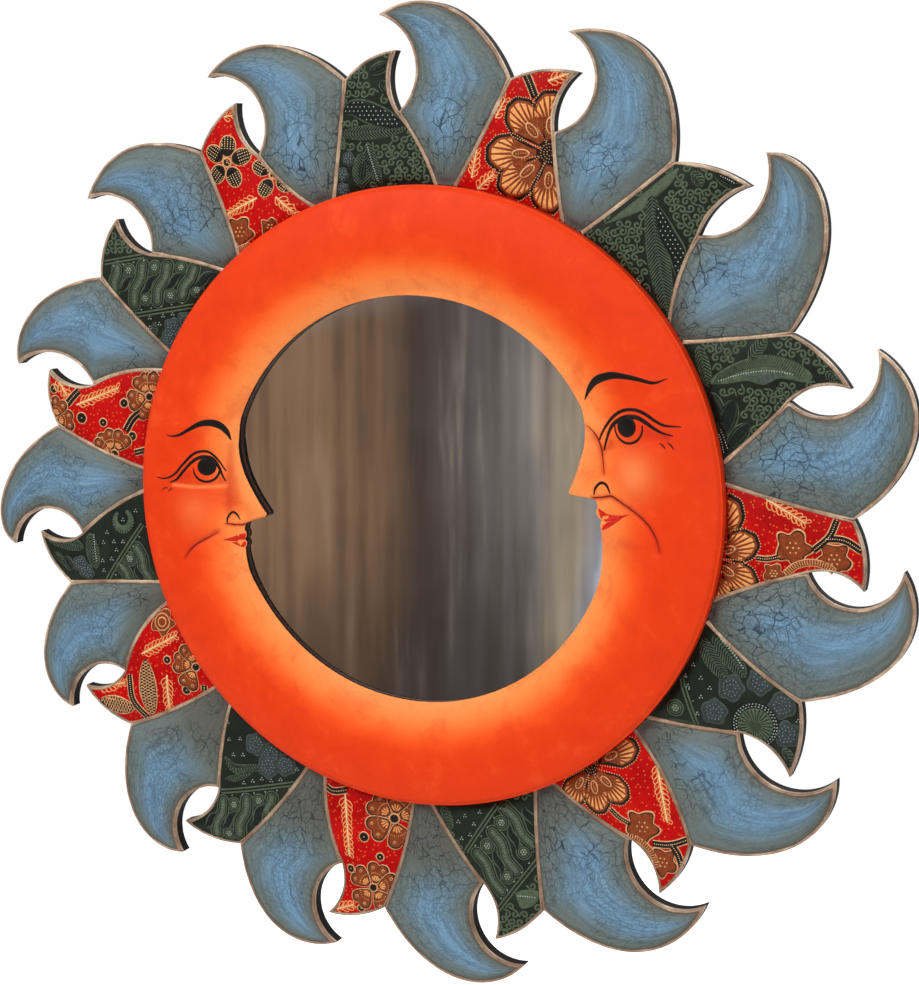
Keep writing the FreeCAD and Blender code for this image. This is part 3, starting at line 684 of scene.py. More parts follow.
def add_object(name, spots, faces, materials, slots, fields=None, sharp=None):
    """New piece on the mirror's body; spots are rows of (x, y, z) in mm about the mirror's centre."""
    mesh = bpy.data.meshes.new(name)
    mesh.from_pydata(((spots + [0, 0, CENTRE_Z]) * MM).tolist(), [], faces)
    for material in materials:
        mesh.materials.append(material)
    mesh.polygons.foreach_set("material_index", np.array(slots, np.int32))
    mesh.polygons.foreach_set("use_smooth", np.ones(len(faces), bool))
    for field, values in (fields or {}).items():
        mesh.attributes.new(field, "FLOAT", "POINT").data.foreach_set("value", values.astype(np.float32))
    mesh.update()
    if sharp:
        mesh.set_sharp_from_angle(angle=math.radians(sharp))
    piece = put_in(name, mesh)
    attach(piece, "mirror")
    return piece


def node_points(node):
    """Vertices of a CAD node in millimetres about the mirror's centre, and its triangles."""
    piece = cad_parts[node]
    mesh = piece.data
    mesh.calc_loop_triangles()
    spots = np.array([tuple(piece.matrix_world @ vertex.co) for vertex in mesh.vertices]) / MM
    triangles = np.array([tuple(triangle.vertices) for triangle in mesh.loop_triangles])
    return spots - [0, 0, CENTRE_Z], triangles


def flat_loops(node, depth):
    """Edge loops of a node's flat faces at one depth, anticlockwise, the longest first."""
    spots, triangles = node_points(node)
    flat = triangles[(np.abs(spots[triangles][:, :, 1] - depth) < FLAT_GAP).all(1)]
    keys = [tuple(key) for key in np.round(spots[:, [0, 2]], 3)]
    sides = {(keys[t[i]], keys[t[(i + 1) % 3]]) for t in flat for i in range(3)}
    following = {a: b for a, b in sides if (b, a) not in sides}
    loops = []
    while following:
        first, at = following.popitem()
        loop = [first]
        while at != first:
            loop.append(at)
            at = following.pop(at)
        loop = np.array(loop)
        loops.append(loop if signed_area(loop) > 0 else loop[::-1])
    return sorted(loops, key=lambda loop: -lengths(np.diff(loop, axis=0)).sum())


# Materials

def rgb(red, green, blue):
    """Linear colour of an sRGB one given in steps of 255."""
    shares = [value / 255 for value in (red, green, blue)]
    return tuple(s / 12.92 if s <= 0.04045 else ((s + 0.055) / 1.055) ** 2.4 for s in shares) + (1.0,)


class Shader:
    """Short names for the nodes of one material. Colours are given in steps of 255."""

    def __init__(self, tree):
        self.tree = tree
        self.finish = tree.nodes.get("Principled BSDF")

    def node(self, kind, inputs=None, **settings):
        made = self.tree.nodes.new("ShaderNode" + kind)
        for key, value in settings.items():
            setattr(made, key, value)
        for key, value in (inputs or {}).items():
            self.put(made.inputs[key], value)
        return made

    def put(self, socket, value):
        if isinstance(value, bpy.types.NodeSocket):
            self.tree.links.new(value, socket)
        else:
            socket.default_value = value

    def field(self, name):
        return self.node("Attribute", attribute_name=name).outputs["Fac"]

    def stretch(self, vector, scale):
        return self.node("Mapping", {"Vector": vector, "Scale": scale}).outputs["Vector"]

    def spot(self, scale=(1, 1, 1)):
        """Place on the object, in millimetres times the scale."""
        return self.stretch(self.node("TexCoord").outputs["Object"], tuple(s / MM for s in scale))

    def parts(self, vector):
        return self.node("SeparateXYZ", {0: vector}).outputs

    def join(self, **parts):
        return self.node("CombineXYZ", parts).outputs[0]

    def math(self, kind, *values):
        return self.node("Math", dict(enumerate(values)), operation=kind).outputs[0]

    def vector(self, kind, *values):
        made = self.node("VectorMath", dict(enumerate(values)), operation=kind)
        return made.outputs["Value" if kind == "LENGTH" else "Vector"]

    def times(self, first, *others):
        for other in others:
            first = self.math("MULTIPLY", first, other)
        return first

    def sway(self, value, amount):
        """Value about a half, turned into one about 0 and scaled."""
        return self.math("MULTIPLY_ADD", value, amount, -amount / 2)

    def noise(self, vector, scale, detail=3.0, rough=0.55, out="Fac"):
        inputs = {"Vector": vector, "Scale": scale, "Detail": detail, "Roughness": rough}
        return self.node("TexNoise", inputs).outputs[out]

    def bent(self, vector, place, scale, amount):
        """Vector moved at random, by up to half the amount each way."""
        by = self.vector("SUBTRACT", self.noise(place, scale, 2.0, 0.5, "Color"), (0.5, 0.5, 0.5))
        return self.vector("MULTIPLY_ADD", by, (amount, amount, amount), vector)

    def cells(self, vector, scale, feature="DISTANCE_TO_EDGE", space="3D"):
        made = self.node("TexVoronoi", {"Vector": vector, "Scale": scale}, feature=feature,
                         voronoi_dimensions=space)
        return made.outputs["Distance"]

    def rise(self, value, low, high, start=0.0, end=1.0):
        """Smooth step from start to end as the value goes from low to high."""
        inputs = {"Value": value, "From Min": low, "From Max": high, "To Min": start, "To Max": end}
        return self.node("MapRange", inputs, interpolation_type="SMOOTHSTEP").outputs["Result"]

    def colours(self, value, stops):
        made = self.node("ValToRGB", {"Fac": value})
        band = made.color_ramp
        while len(band.elements) < len(stops):
            band.elements.new(1.0)
        for element, (place, shade) in zip(band.elements, stops):
            element.position = place
            element.color = rgb(*shade)
        return made.outputs["Color"]

    def mix(self, share, first, second):
        return self.node("Mix", {0: share, 6: first, 7: second}, data_type="RGBA").outputs[2]

    def tint(self, colour, shade, value, low, high, start, end):
        """Colour mixed with another, by a share from start to end as the value goes from low to high."""
        return self.mix(self.rise(value, low, high, start, end), colour, rgb(*shade))

    def bump(self, height, strength, distance):
        inputs = {"Height": height, "Strength": strength, "Distance": distance * MM}
        return self.node("Bump", inputs).outputs["Normal"]

    def surface(self, **inputs):
        for key, value in inputs.items():
            self.put(self.finish.inputs[key.replace("_", " ")], value)

    def show(self, shader):
        self.put(self.tree.nodes["Material Output"].inputs["Surface"], shader.outputs[0])


def new_material(name):
    made = bpy.data.materials.new(name)
    made.use_nodes = True
    return made, Shader(made.node_tree)


def crackle(s, place, lane, out):
    """Cracks of the varnish, 1 in their middle: wide ones at the neck, and fine ones in patches."""
    bent = s.bent(lane, place, 0.2, 3.6)
    wide = s.rise(s.cells(s.stretch(bent, (0.115, 0.19, 0.02)), 1.0), 0.016, 0.048, 0.85, 0.0)
    fine = s.rise(s.cells(s.stretch(bent, (0.27, 0.44, 0.02)), 1.0), 0.03, 0.10, 0.40, 0.0)
    patchy = s.noise(place, 0.04, 2.0)
    wide = s.times(wide, s.rise(out, 30.0, 80.0, 1.0, 0.25), s.rise(patchy, 0.38, 0.52))
    fine = s.times(fine, s.rise(patchy, 0.34, 0.60, 0.3, 1.0))
    return s.math("MAXIMUM", wide, fine)


def crackle_paint():
    """Blue paint dragged along the ray over olive grey, under a crackled varnish."""
    made, s = new_material("blue_crackle_paint")
    place = s.spot()
    across, edge, out, rim = (s.field(name) for name in ("across", "edge", "out", "rim"))
    parts = s.parts(place)
    lane = s.join(X=out, Y=s.times(across, RAY_LANES), Z=s.times(parts["Z"], 0.3))
    drag = s.noise(s.stretch(lane, (0.035, 0.42, 0.05)), 1.0, 4.0, 0.6)
    middle = s.math("ADD", across, s.sway(s.noise(place, 0.03), 0.44))
    low = s.times(s.rise(parts["Z"], -330.0, -140.0, NECK_LOW, 0.0), s.rise(parts["X"], 0.0, 140.0, 1.0, 0.3))
    reach = s.math("SUBTRACT", out, low)
    band = s.times(s.rise(middle, 0.07, 0.42), s.rise(middle, 0.47, 0.88, 1.0, 0.0), s.rise(edge, 1.5, 12.0),
                   s.rise(reach, 2.0, 40.0, 0.03, 1.0), s.rise(drag, 0.30, 0.62, 0.66, 1.0))
    grey = s.colours(drag, [(0.28, (92, 103, 99)), (0.5, (103, 115, 111)), (0.75, (115, 127, 123))])
    blue = s.colours(drag, [(0.28, (94, 132, 162)), (0.52, (108, 146, 174)), (0.78, (128, 164, 188))])
    colour = s.mix(band, grey, blue)
    colour = s.tint(colour, (62, 74, 76), s.noise(place, 0.6, 4.0, 0.65), 0.45, 0.75, 0.0, 0.20)
    # Painted shade: darker brown where the ray runs in under the ring's edge, reaching further out on the
    # lower left rays
    colour = s.tint(colour, (88, 80, 66), reach, -6.0, 26.0, 0.62, 0.0)
    colour = s.tint(colour, (96, 84, 72), rim, 1.0, 2.6, 0.6, 0.0)
    crack = crackle(s, place, lane, out)
    height = s.math("SUBTRACT", s.times(drag, 0.25), crack)
    s.surface(Base_Color=s.mix(crack, colour, rgb(32, 40, 44)), Roughness=s.rise(drag, 0.2, 0.8, 0.42, 0.58),
              Specular_IOR_Level=0.15, Normal=s.bump(height, 0.4, 0.2))
    return made


def gold_rim():
    """Bronze gold relief paste, worn pale on its top and brown along both sides, that brown partly painted
    shade, and browner towards the bottom of the mirror.
    """
    made, s = new_material("gold_rim_paint")
    place = s.spot()
    patch = s.noise(place, 0.07, 4.0, 0.6)
    grain = s.noise(place, 0.8)
    colour = s.colours(patch, [(0.30, (122, 94, 72)), (0.46, (166, 136, 110)), (0.58, (192, 164, 136)),
                               (0.74, (232, 206, 168))])
    colour = s.tint(colour, (104, 80, 62), grain, 0.52, 0.72, 0.0, 0.45)
    # Browner towards the bottom of the mirror
    colour = s.tint(colour, (112, 82, 60), s.parts(place)["Z"], -420.0, -150.0, 0.45, 0.0)
    # Brown at the bead's inner foot: the paste's own brown and painted shade in the groove beside it
    colour = s.tint(colour, (84, 66, 52), s.field("rim"), 0.62, 1.0, 0.0, 0.75)
    s.surface(Base_Color=colour, Metallic=0.2, Roughness=s.rise(patch, 0.3, 0.75, 0.50, 0.30),
              Specular_IOR_Level=0.3, Normal=s.bump(grain, 0.6, 0.35))
    return made


def dark_side():
    made, s = new_material("dark_sawn_side")
    grain = s.noise(s.spot((1, 0.25, 1)), 0.6, 4.0)
    colour = s.colours(grain, [(0.3, (12, 9, 7)), (0.6, (22, 17, 13)), (0.8, (42, 32, 24))])
    s.surface(Base_Color=colour, Roughness=0.65, Specular_IOR_Level=0.04, Normal=s.bump(grain, 0.4, 0.3))
    return made


def bare_wood(name, start, tone):
    """Plain pale wood, unpainted at the back, with its grain from the mirror's middle outwards."""
    made, s = new_material(name)
    parts = s.parts(s.spot())
    flat = s.join(X=parts["X"], Z=s.math("SUBTRACT", parts["Z"], CENTRE_Z))
    drift = s.join(Y=s.math("MULTIPLY_ADD", s.vector("LENGTH", flat), GRAIN_STRETCH, start))
    lane = s.vector("MULTIPLY_ADD", s.vector("NORMALIZE", flat), (GRAIN_R, GRAIN_R, GRAIN_R), drift)
    grain = s.noise(s.bent(lane, lane, 0.05, 9.0), 0.22, 5.0, 0.6)
    pores = s.noise(lane, 1.3, 2.0)
    shades = ((0.3, (122, 88, 58)), (0.5, (160, 120, 82)), (0.72, (188, 150, 108)))
    colour = s.colours(grain, [(at, [part + tone for part in shade]) for at, shade in shades])
    colour = s.tint(colour, (84, 58, 38), pores, 0.60, 0.72, 0.0, 0.5)
    s.surface(Base_Color=colour, Roughness=0.72, Normal=s.bump(pores, 0.3, 0.2))
    return made


def red_cloth():
    """Red dyed cotton with small yellow dots, varnished."""
    made, s = new_material("red_batik_cloth")
    place = s.spot()
    parts = s.parts(place)
    weave = s.noise(place, 1.6, 2.0)
    dots = s.cells(s.join(X=parts["X"], Y=parts["Z"]), 0.25, "F1", "2D")
    colour = s.colours(s.noise(place, 0.05), [(0.3, (164, 6, 6)), (0.55, (187, 9, 9)), (0.75, (200, 20, 12))])
    colour = s.tint(colour, (132, 6, 6), weave, 0.5, 0.75, 0.0, 0.25)
    colour = s.tint(colour, (234, 100, 48), dots, 0.09, 0.16, 0.75, 0.0)
    s.surface(Base_Color=colour, Roughness=0.45, Specular_IOR_Level=0.06, Normal=s.bump(weave, 0.25, 0.12))
    return made


def green_cloth():
    """Near-black green cotton, varnished."""
    made, s = new_material("green_batik_cloth")
    place = s.spot()
    weave = s.noise(place, 1.6, 2.0)
    colour = s.colours(s.noise(place, 0.06), [(0.3, (17, 23, 15)), (0.6, (26, 34, 24)), (0.8, (36, 45, 32))])
    colour = s.tint(colour, (44, 54, 44), weave, 0.5, 0.75, 0.0, 0.3)
    s.surface(Base_Color=colour, Roughness=0.48, Specular_IOR_Level=0.12, Normal=s.bump(weave, 0.25, 0.12))
    return made


def dye(name, dark, light):
    """Ink or paint of one print or brush, a little uneven."""
    made, s = new_material(name)
    uneven = s.noise(s.spot(), 0.5)
    s.surface(Base_Color=s.colours(uneven, [(0.3, dark), (0.7, light)]),
              Roughness=s.rise(uneven, 0.3, 0.7, 0.40, 0.52), Specular_IOR_Level=0.12)
    return made


def orange_paint():
    """Sprayed orange ring: paler towards the glass, deeper outside, with painted shade in dark red in the
    creases and painted highlights in pale orange, both partly the faces' own spray.
    """
    made, s = new_material("orange_ring_paint")
    place = s.spot()
    speck = s.noise(place, 0.7, 4.0, 0.6)
    brush = s.noise(s.bent(place, place, 0.02, 30.0), 0.06, 4.0, 0.65)
    lane = s.math("ADD", s.field("glow"), s.sway(s.noise(place, 0.03), 7.0))
    colour = s.colours(s.math("DIVIDE", lane, GLOW_REACH), GLOW_COLOURS)
    colour = s.tint(colour, (212, 48, 10), brush, 0.46, 0.70, 0.0, 0.30)
    colour = s.tint(colour, (252, 104, 44), brush, 0.30, 0.46, 0.22, 0.0)
    colour = s.tint(colour, (204, 40, 8), speck, 0.50, 0.75, 0.0, 0.16)
    # Painted shade: dark red in the carved creases and hollows, partly the faces' own sprayed red
    colour = s.mix(s.field("painted_crease_shade"), colour, rgb(196, 40, 18))
    # Painted highlight: pale orange on the cheeks, nose ridges and lids, partly the faces' own spray
    colour = s.mix(s.field("painted_highlight"), colour, rgb(255, 150, 84))
    s.surface(Base_Color=colour, Roughness=s.rise(speck, 0.3, 0.8, 0.40, 0.52), Specular_IOR_Level=0.09,
              Normal=s.bump(speck, 0.12, 0.15))
    return made


def ring_body():
    """Wood of the ring under its skin: orange outside, dark at the window, partly its dark paint and partly
    painted shade, bare behind the rays' plane.
    """
    made, s = new_material("ring_body_paint")
    parts = s.parts(s.spot())
    radius = s.vector("LENGTH", s.join(X=parts["X"], Z=s.math("SUBTRACT", parts["Z"], CENTRE_Z)))
    grain = s.noise(s.spot((0.12, 1, 1)), 0.25, 5.0, 0.6)
    wood = s.colours(grain, [(0.3, (118, 84, 56)), (0.5, (156, 116, 80)), (0.72, (184, 146, 106))])
    # Dark brown at the window wall: the wall's own dark paint and painted shade in the narrow wall
    paint = s.mix(s.rise(radius, 138.0, 150.0), rgb(52, 24, 14), rgb(214, 52, 20))
    colour = s.mix(s.rise(parts["Y"], BARE_FROM, BARE_TO), paint, wood)
    s.surface(Base_Color=colour, Roughness=0.55, Specular_IOR_Level=0.15, Normal=s.bump(grain, 0.25, 0.25))
    return made


def mirror_silver():
    made, s = new_material("mirror_silver")
    haze = s.noise(s.spot(), 0.02, 2.0)
    s.surface(Base_Color=s.colours(haze, [(0.3, (214, 218, 218)), (0.7, (226, 229, 230))]), Metallic=1.0,
              Roughness=s.rise(haze, 0.3, 0.7, 0.015, 0.03))
    return made


def fibre_board(name, dark, light, scale):
    """Card or hardboard of tangled fibre."""
    made, s = new_material(name)
    place = s.spot()
    fibre = s.noise(s.bent(place, place, 0.15, 6.0), scale, 5.0, 0.65)
    s.surface(Base_Color=s.colours(fibre, [(0.3, dark), (0.7, light)]), Roughness=0.8,
              Normal=s.bump(fibre, 0.25, 0.2))
    return made


def plated(name, dark, light, rough):
    """Metal with small scratches and a little tarnish."""
    made, s = new_material(name)
    tarnish = s.noise(s.spot(), 0.25, 4.0)
    scratch = s.noise(s.spot((0.15, 1, 2.5)), 1.2)
    rough = s.rise(scratch, 0.3, 0.7, rough - 0.08, rough + 0.12)
    s.surface(Base_Color=s.colours(tarnish, [(0.3, dark), (0.65, light)]), Metallic=1.0, Roughness=rough,
              Normal=s.bump(scratch, 0.15, 0.05))
    return made


PAINT = {
    "crackle": crackle_paint(),
    "gold": gold_rim(),
    "side": dark_side(),
    "red": red_cloth(),
    "green": green_cloth(),
    "orange": orange_paint(),
}
PAINT.update({name.split("_")[0]: dye(name, *shades) for name, shades in DYES.items()})


# Stage, light and camera

def facing(back):
    """Turn of a camera or lamp that looks against the given direction."""
    return back.to_track_quat("Z", "Y").to_euler()


def aim_camera():
    """Camera that sees the mirror as the photograph does."""
    data = bpy.data.cameras.new("camera")
    data.lens = CAMERA_LENS
    data.sensor_width = CAMERA_SENSOR
    data.sensor_fit = "AUTO"
    camera = put_in("camera", data)
    azimuth = math.radians(CAMERA_AZIMUTH)
    elevation = math.radians(CAMERA_ELEVATION)
    back = Vector((math.sin(azimuth) * math.cos(elevation), -math.cos(azimuth) * math.cos(elevation),
                   math.sin(elevation)))
    camera.location = CAMERA_AIM + back * CAMERA_DISTANCE
    camera.rotation_euler = facing(back)
    bpy.context.scene.camera = camera
    return camera


def soft_light(name, place, power, size):
    """Square lamp turned to where the camera aims."""
    data = bpy.data.lights.new(name, "AREA")
    data.energy = power
    data.size = size
    light = put_in(name, data)
    light.location = place
    light.rotation_euler = facing(Vector(place) - CAMERA_AIM)


def seen_rays(s):
    """1 for the rays that show the background: to the camera, and in metal and glass."""
    path = s.node("LightPath").outputs
    mirrored = s.math("MAXIMUM", path["Is Glossy Ray"], path["Is Transmission Ray"])
    return s.math("MAXIMUM", path["Is Camera Ray"], mirrored)


def make_world():
    """White to look at, also in metal and glass; as light a pale room that darkens to brown below."""
    world = bpy.data.worlds.new("studio")
    world.use_nodes = True
    world.node_tree.nodes.clear()
    bpy.context.scene.world = world
    s = Shader(world.node_tree)
    way = s.node("TexCoord").outputs["Generated"]
    level = s.math("ADD", s.parts(way)["Z"], s.sway(s.noise(way, 3.0), 0.20))
    room = s.colours(s.rise(level, -0.30, 0.25), [(0.0, (92, 76, 64)), (0.42, (150, 134, 122)),
                                                  (0.62, (196, 194, 200)), (1.0, (236, 238, 244))])
    lit = s.node("Background", {"Color": room, "Strength": WORLD_LIGHT})
    plain = s.node("Background", {"Color": (1, 1, 1, 1), "Strength": 1.0})
    both = s.node("MixShader", {0: seen_rays(s), 1: lit.outputs[0], 2: plain.outputs[0]})
    s.node("OutputWorld", {"Surface": both.outputs[0]})


def make_floor():
    """Pale round floor below the hung mirror, which looks white where no shadow falls on it."""
    mesh = bpy.data.meshes.new("floor")
    level = CAD_BOX[0][2] - FLOOR_BELOW
    ring = [(x, y, level) for x, y in FLOOR_R * compass(FLOOR_CORNERS)]
    mesh.from_pydata(ring, [], [tuple(range(FLOOR_CORNERS))])
    made, s = new_material("pale_floor")
    s.surface(Base_Color=rgb(232, 230, 226), Roughness=0.9)
    glow = s.node("Emission", {"Color": (1, 1, 1, 1), "Strength": s.times(seen_rays(s), FLOOR_GLOW)})
    s.show(s.node("AddShader", {0: s.finish.outputs[0], 1: glow.outputs[0]}))
    mesh.materials.append(made)
    floor = put_in("floor", mesh)


def make_room():
    """Screen in front of the mirror that only reflections show: a dim room with cloth and a bright gap."""
    x0, x1 = ROOM_SIDES
    z0, z1 = ROOM_HEIGHTS
    mesh = bpy.data.meshes.new("room_screen")
    corners = [(x0, ROOM_Y, z0), (x1, ROOM_Y, z0), (x1, ROOM_Y, z1), (x0, ROOM_Y, z1)]
    mesh.from_pydata(corners, [], [(3, 2, 1, 0)])
    made, s = new_material("room_screen")
    metres = s.spot((MM, MM, MM))
    parts = s.parts(metres)
    folds = s.noise(s.spot((MM, MM, 0.06 * MM)), 22.0, 5.0, 0.6)
    haze = s.noise(metres, 2.6)
    place = s.math("ADD", parts["X"], s.sway(haze, 0.16))
    share = s.math("DIVIDE", s.math("SUBTRACT", place, ROOM_ZONES[0]), ROOM_ZONES[1] - ROOM_ZONES[0])
    level = s.math("ADD", parts["Z"], s.sway(haze, 0.5))
    colour = s.colours(share, ROOM_COLOURS)
    colour = s.tint(colour, (60, 46, 38), folds, 0.40, 0.66, 0.0, 0.5)
    colour = s.tint(colour, (196, 176, 156), folds, 0.30, 0.44, 0.3, 0.0)
    colour = s.tint(colour, (42, 36, 33), level, -1.0, -0.66, 0.6, 0.0)
    colour = s.tint(colour, (176, 174, 184), level, -0.30, -0.12, 0.0, 0.6)
    s.show(s.node("Emission", {"Color": colour, "Strength": ROOM_LIGHT}))
    mesh.materials.append(made)
    room = put_in("room_screen", mesh)
    for ray in ("camera", "diffuse", "transmission", "volume_scatter", "shadow"):
        setattr(room, "visible_" + ray, False)


CAMERA = aim_camera()
make_world()
make_floor()
make_room()
for lamp, values in LAMPS.items():
    soft_light(lamp, *values)
bpy.context.scene.view_settings.view_transform = "Standard"


# Rays

class Shape:
    """Points, faces and material slots of one piece, gathered row by row."""

    def __init__(self):
        self.spots = np.empty((0, 3))
        self.faces = []
        self.slots = []

    def row(self, plane, depth):
        """Adds plane points at a depth and gives their indices."""
        first = len(self.spots)
        self.spots = np.vstack([self.spots, lifted(plane, depth)])
        return list(range(first, len(self.spots)))

    def add(self, faces, slot):
        self.faces += faces
        self.slots += [slot] * len(faces)

    def wall(self, upper, lower, slot):
        """Faces between two closed rows of points."""
        corners = zip(upper, lower, lower[1:] + lower[:1], upper[1:] + upper[:1])
        self.add(list(corners), slot)


class Ray:
    """One flame ray: its outline at the back of its CAD node, and the heights and marks of its front."""

    def __init__(self, node):
        self.node = node
        self.blue = node.startswith("blue")
        self.crown = BLUE_CROWN if self.blue else BATIK_CROWN
        loops = flat_loops(node, 0.0)
        self.outline = resample(loops[0], OUTLINE_STEP)
        self.hole = resample(loops[-1], HOLE_STEP)
        self.border = np.empty((0, 2))
        corners = np.flatnonzero(np.abs(turns(self.outline)) > TIP_DEG)
        tip = corners[lengths(self.outline[corners]).argmax()]
        ring = np.roll(self.outline, -tip, axis=0)
        tail = lengths(ring).argmin()
        self.hollow_side = ring[:tail + 1]
        self.back_side = np.vstack([ring[tail:], ring[:1]])
        self.rim = np.full(len(self.outline), RIM_FREE)
        self.shared = np.zeros(len(self.outline))

    def share_rims(self, others):
        """Where another ray lies against this one, their two narrow rims make one bead."""
        gap = np.linalg.norm(self.outline[:, None] - others[None], axis=2).min(1)
        shared = (gap < SHARED_GAP).astype(float)
        looped = np.concatenate([shared[-SHARED_BLUR:], shared, shared[:SHARED_BLUR]])
        span = 2 * SHARED_BLUR + 1
        self.shared = np.convolve(looped, np.ones(span) / span, "valid")
        self.rim = RIM_FREE + (RIM_SHARED - RIM_FREE) * self.shared
        self.rim *= 1 + RIM_WAVE * waves(self.outline, RIM_WIDTH_PITCH, SEED)
        border = self.outline + inwards(self.outline) * self.rim[:, None] * (PRINT_EDGE + PRINT_MARGIN)
        self.border = border[self.keep(border)]

    def measure(self, points):
        """Distance from the edge, its share of the rim's width there, and how far that rim is shared."""
        edge, which = nearest(points, self.outline, True)
        return edge, edge / self.rim[which], self.shared[which]

    def height(self, points, with_rim=True):
        """Height of the front above the ray's edge plane."""
        edge, share, shared = self.measure(points)
        width = edge / np.maximum(share, 1e-6)
        body = self.crown * (1 - np.exp(-np.maximum(edge - width, 0) / SWELL_REACH)) - RIM_DIP
        rim = np.interp(share, RIM_SHARES, RIM_HEIGHTS) * (1 - shared)
        rim += np.interp(share, RIM_SHARES, BEAD_HEIGHTS) * shared
        rim += RIM_WAVE * waves(points, RIM_HEIGHT_PITCH, SEED + 1)
        front = np.where(share < 1, rim if with_rim else -RIM_DIP, body)
        return front * ramp(lengths(points) - RING_R, RING_ROWS[0], RING_ROWS[-1])

    def front(self, points):
        """Depth of the cloth or paint, as if it ran on under the rim."""
        return -RAY_EDGE - self.height(points, False)

    def keep(self, points):
        """Which points lie on the cloth that shows or just under its rim."""
        good = inside(points, self.outline) & (lengths(points) > RING_R + RING_GAP)
        return good & (self.measure(points)[1] > PRINT_EDGE)

    def front_points(self):
        """Outline, rows of points that follow it under the rim and inside it, and a grid for the rest."""
        rows = [self.outline]
        for share in RIM_SHARES[1:] + INNER_ROWS:
            row = self.outline + inwards(self.outline) * (self.rim * share)[:, None]
            rows.append(row[inside(row, self.outline) & (self.measure(row)[1] > ROW_LEAST * share)])
        circle = compass(RING_COUNT)
        grid = hex_grid(self.outline.min(0), self.outline.max(0), GRID_STEP)
        grid = grid[lengths(grid) > RING_R + RING_ROWS[-1] + ROWS_CLEAR]
        for points in [circle * (RING_R + out) for out in RING_ROWS] + [grid]:
            points = points[inside(points, self.outline)]
            rows.append(points[self.measure(points)[1] > GRID_CLEAR])
        return np.vstack(rows)

    def build(self, face, wood):
        """Closed body with front, gold rim, dark side and bare back with its screw hole."""
        count = len(self.outline)
        plane, front, place = triangulate(self.front_points(), [list(range(count))])
        fields = self.fields(plane)
        body = Shape()
        body.row(plane, -RAY_EDGE - self.height(plane))
        upper = [place[i] for i in range(count)]
        body.spots[upper] -= RIM_REACH * self.shared[:, None] * lifted(inwards(self.outline), 0.0)
        slots = np.where(fields["rim"][front].mean(1) < 1, 1, 0)
        slots[lengths(plane[front].mean(1)) < RING_R + RING_GAP] = 2
        for slot in range(3):
            body.add(rows_of(front[slots == slot]), slot)
        self.close(body, upper)
        spare = len(body.spots) - len(plane)
        fields = {name: np.pad(values, (0, spare)) for name, values in fields.items()}
        piece = add_object(self.node + "_carved", body.spots, body.faces,
                           [face, PAINT["gold"], PAINT["side"], wood], body.slots, fields, RAY_SHARP)
        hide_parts(self.node)

    def fields(self, plane):
        """What the paint reads: distance from the edge, way across and out, and share of the rim's width."""
        edge, share, _ = self.measure(plane)
        hollow = nearest(plane, self.hollow_side)[0]
        back = nearest(plane, self.back_side)[0]
        return {"edge": edge, "across": hollow / np.maximum(hollow + back, 1e-6),
                "out": lengths(plane) - RING_R, "rim": share}

    def close(self, body, upper):
        """Sides, back and screw hole, from the front's edge on."""
        for depth, slot in ((-RAY_EDGE + RIM_WRAP, 1), (-RAY_EDGE / 2, 2), (0.0, 2)):
            lower = body.row(self.outline, depth)
            body.wall(upper, lower, slot)
            upper = lower
        mouth = body.row(self.hole, 0.0)
        floor = body.row(self.hole, -SCREW_SINK)
        body.wall(floor, mouth, 3)
        body.add([tuple(floor)] + self.back_faces(lower, mouth), 3)

    def back_faces(self, outline, mouth):
        """Triangles between the indices of the outline's and the screw hole's points at the back."""
        count = len(outline)
        flat = np.vstack([self.outline, self.hole])
        _, triangles, place = triangulate(flat, [list(range(count)), list(range(count, len(flat)))])
        source = {place[i]: corner for i, corner in enumerate(outline + mouth)}
        return [tuple(source[i] for i in t[::-1]) for t in triangles]


def make_rays():
    """All rays, each with its rim fitted to its neighbours."""
    names = sorted(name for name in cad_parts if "_ray_" in name)
    rays = {name: Ray(name) for name in names}
    for name, ray in rays.items():
        ray.share_rims(np.vstack([other.outline for key, other in rays.items() if key != name]))
    for index, (name, ray) in enumerate(rays.items()):
        face = PAINT["crackle"] if ray.blue else PAINT[name.split("_")[0]]
        ray.build(face, WOODS[index % len(WOODS)])
    return rays


# Ring

class Seen:
    """Places on the object of pixels of the photograph, as the camera sees them."""

    def __init__(self, camera):
        self.start = np.array(camera.location) / MM - [0, 0, CENTRE_Z]
        self.turn = np.array(camera.rotation_euler.to_matrix())
        self.focal = CAMERA_LENS / CAMERA_SENSOR * max(PHOTO_SIZE)

    def ways(self, pixels):
        """Directions from the camera through pixels."""
        right, down = ((np.array(pixels, float) - np.array(PHOTO_SIZE) / 2) / self.focal).T
        return np.stack([right, -down, np.full(len(right), -1.0)], 1) @ self.turn.T

    def on_plane(self, pixels, depth):
        """Places (x, z) of pixels at a depth in front of the wall, or at one depth each."""
        ways = self.ways(pixels)
        reach = (-depth - self.start[1]) / ways[:, 1]
        return (self.start + reach[:, None] * ways)[:, [0, 2]]

    def on_tree(self, pixels, tree, depth):
        """Places (x, z) of pixels on a surface, or on the plane at the given depth where they miss it."""
        found = self.on_plane(pixels, depth)
        for place, way in zip(found, self.ways(pixels)):
            hit = tree.ray_cast(Vector(self.start), Vector(way))[0]
            if hit:
                place[:] = hit.x, hit.z
        return found


def ring_profile():
    """Radii and front depths of the CAD ring, read along the sun's nose where it reaches furthest in."""
    tree = BVHTree.FromPolygons(*[rows.tolist() for rows in node_points("sun_moon_ring")])
    x, z = heading(math.radians(NOSE_DEG))
    found = []
    for radius in np.arange(WINDOW_LEAST, RING_R - PROFILE_SHORT, PROFILE_STEP):
        hit = tree.ray_cast(Vector((radius * x, PROBE_FROM, radius * z)), Vector((0, 1, 0)))[0]
        if hit:
            found.append((radius, hit.y))
    return np.array(found)


def bell(points, line, width):
    """1 on a line or at a point, fading over the given width."""
    gap = nearest(points, line)[0] if len(line) > 1 else lengths(points - line[0])
    return np.exp(-(gap / width) ** 2)


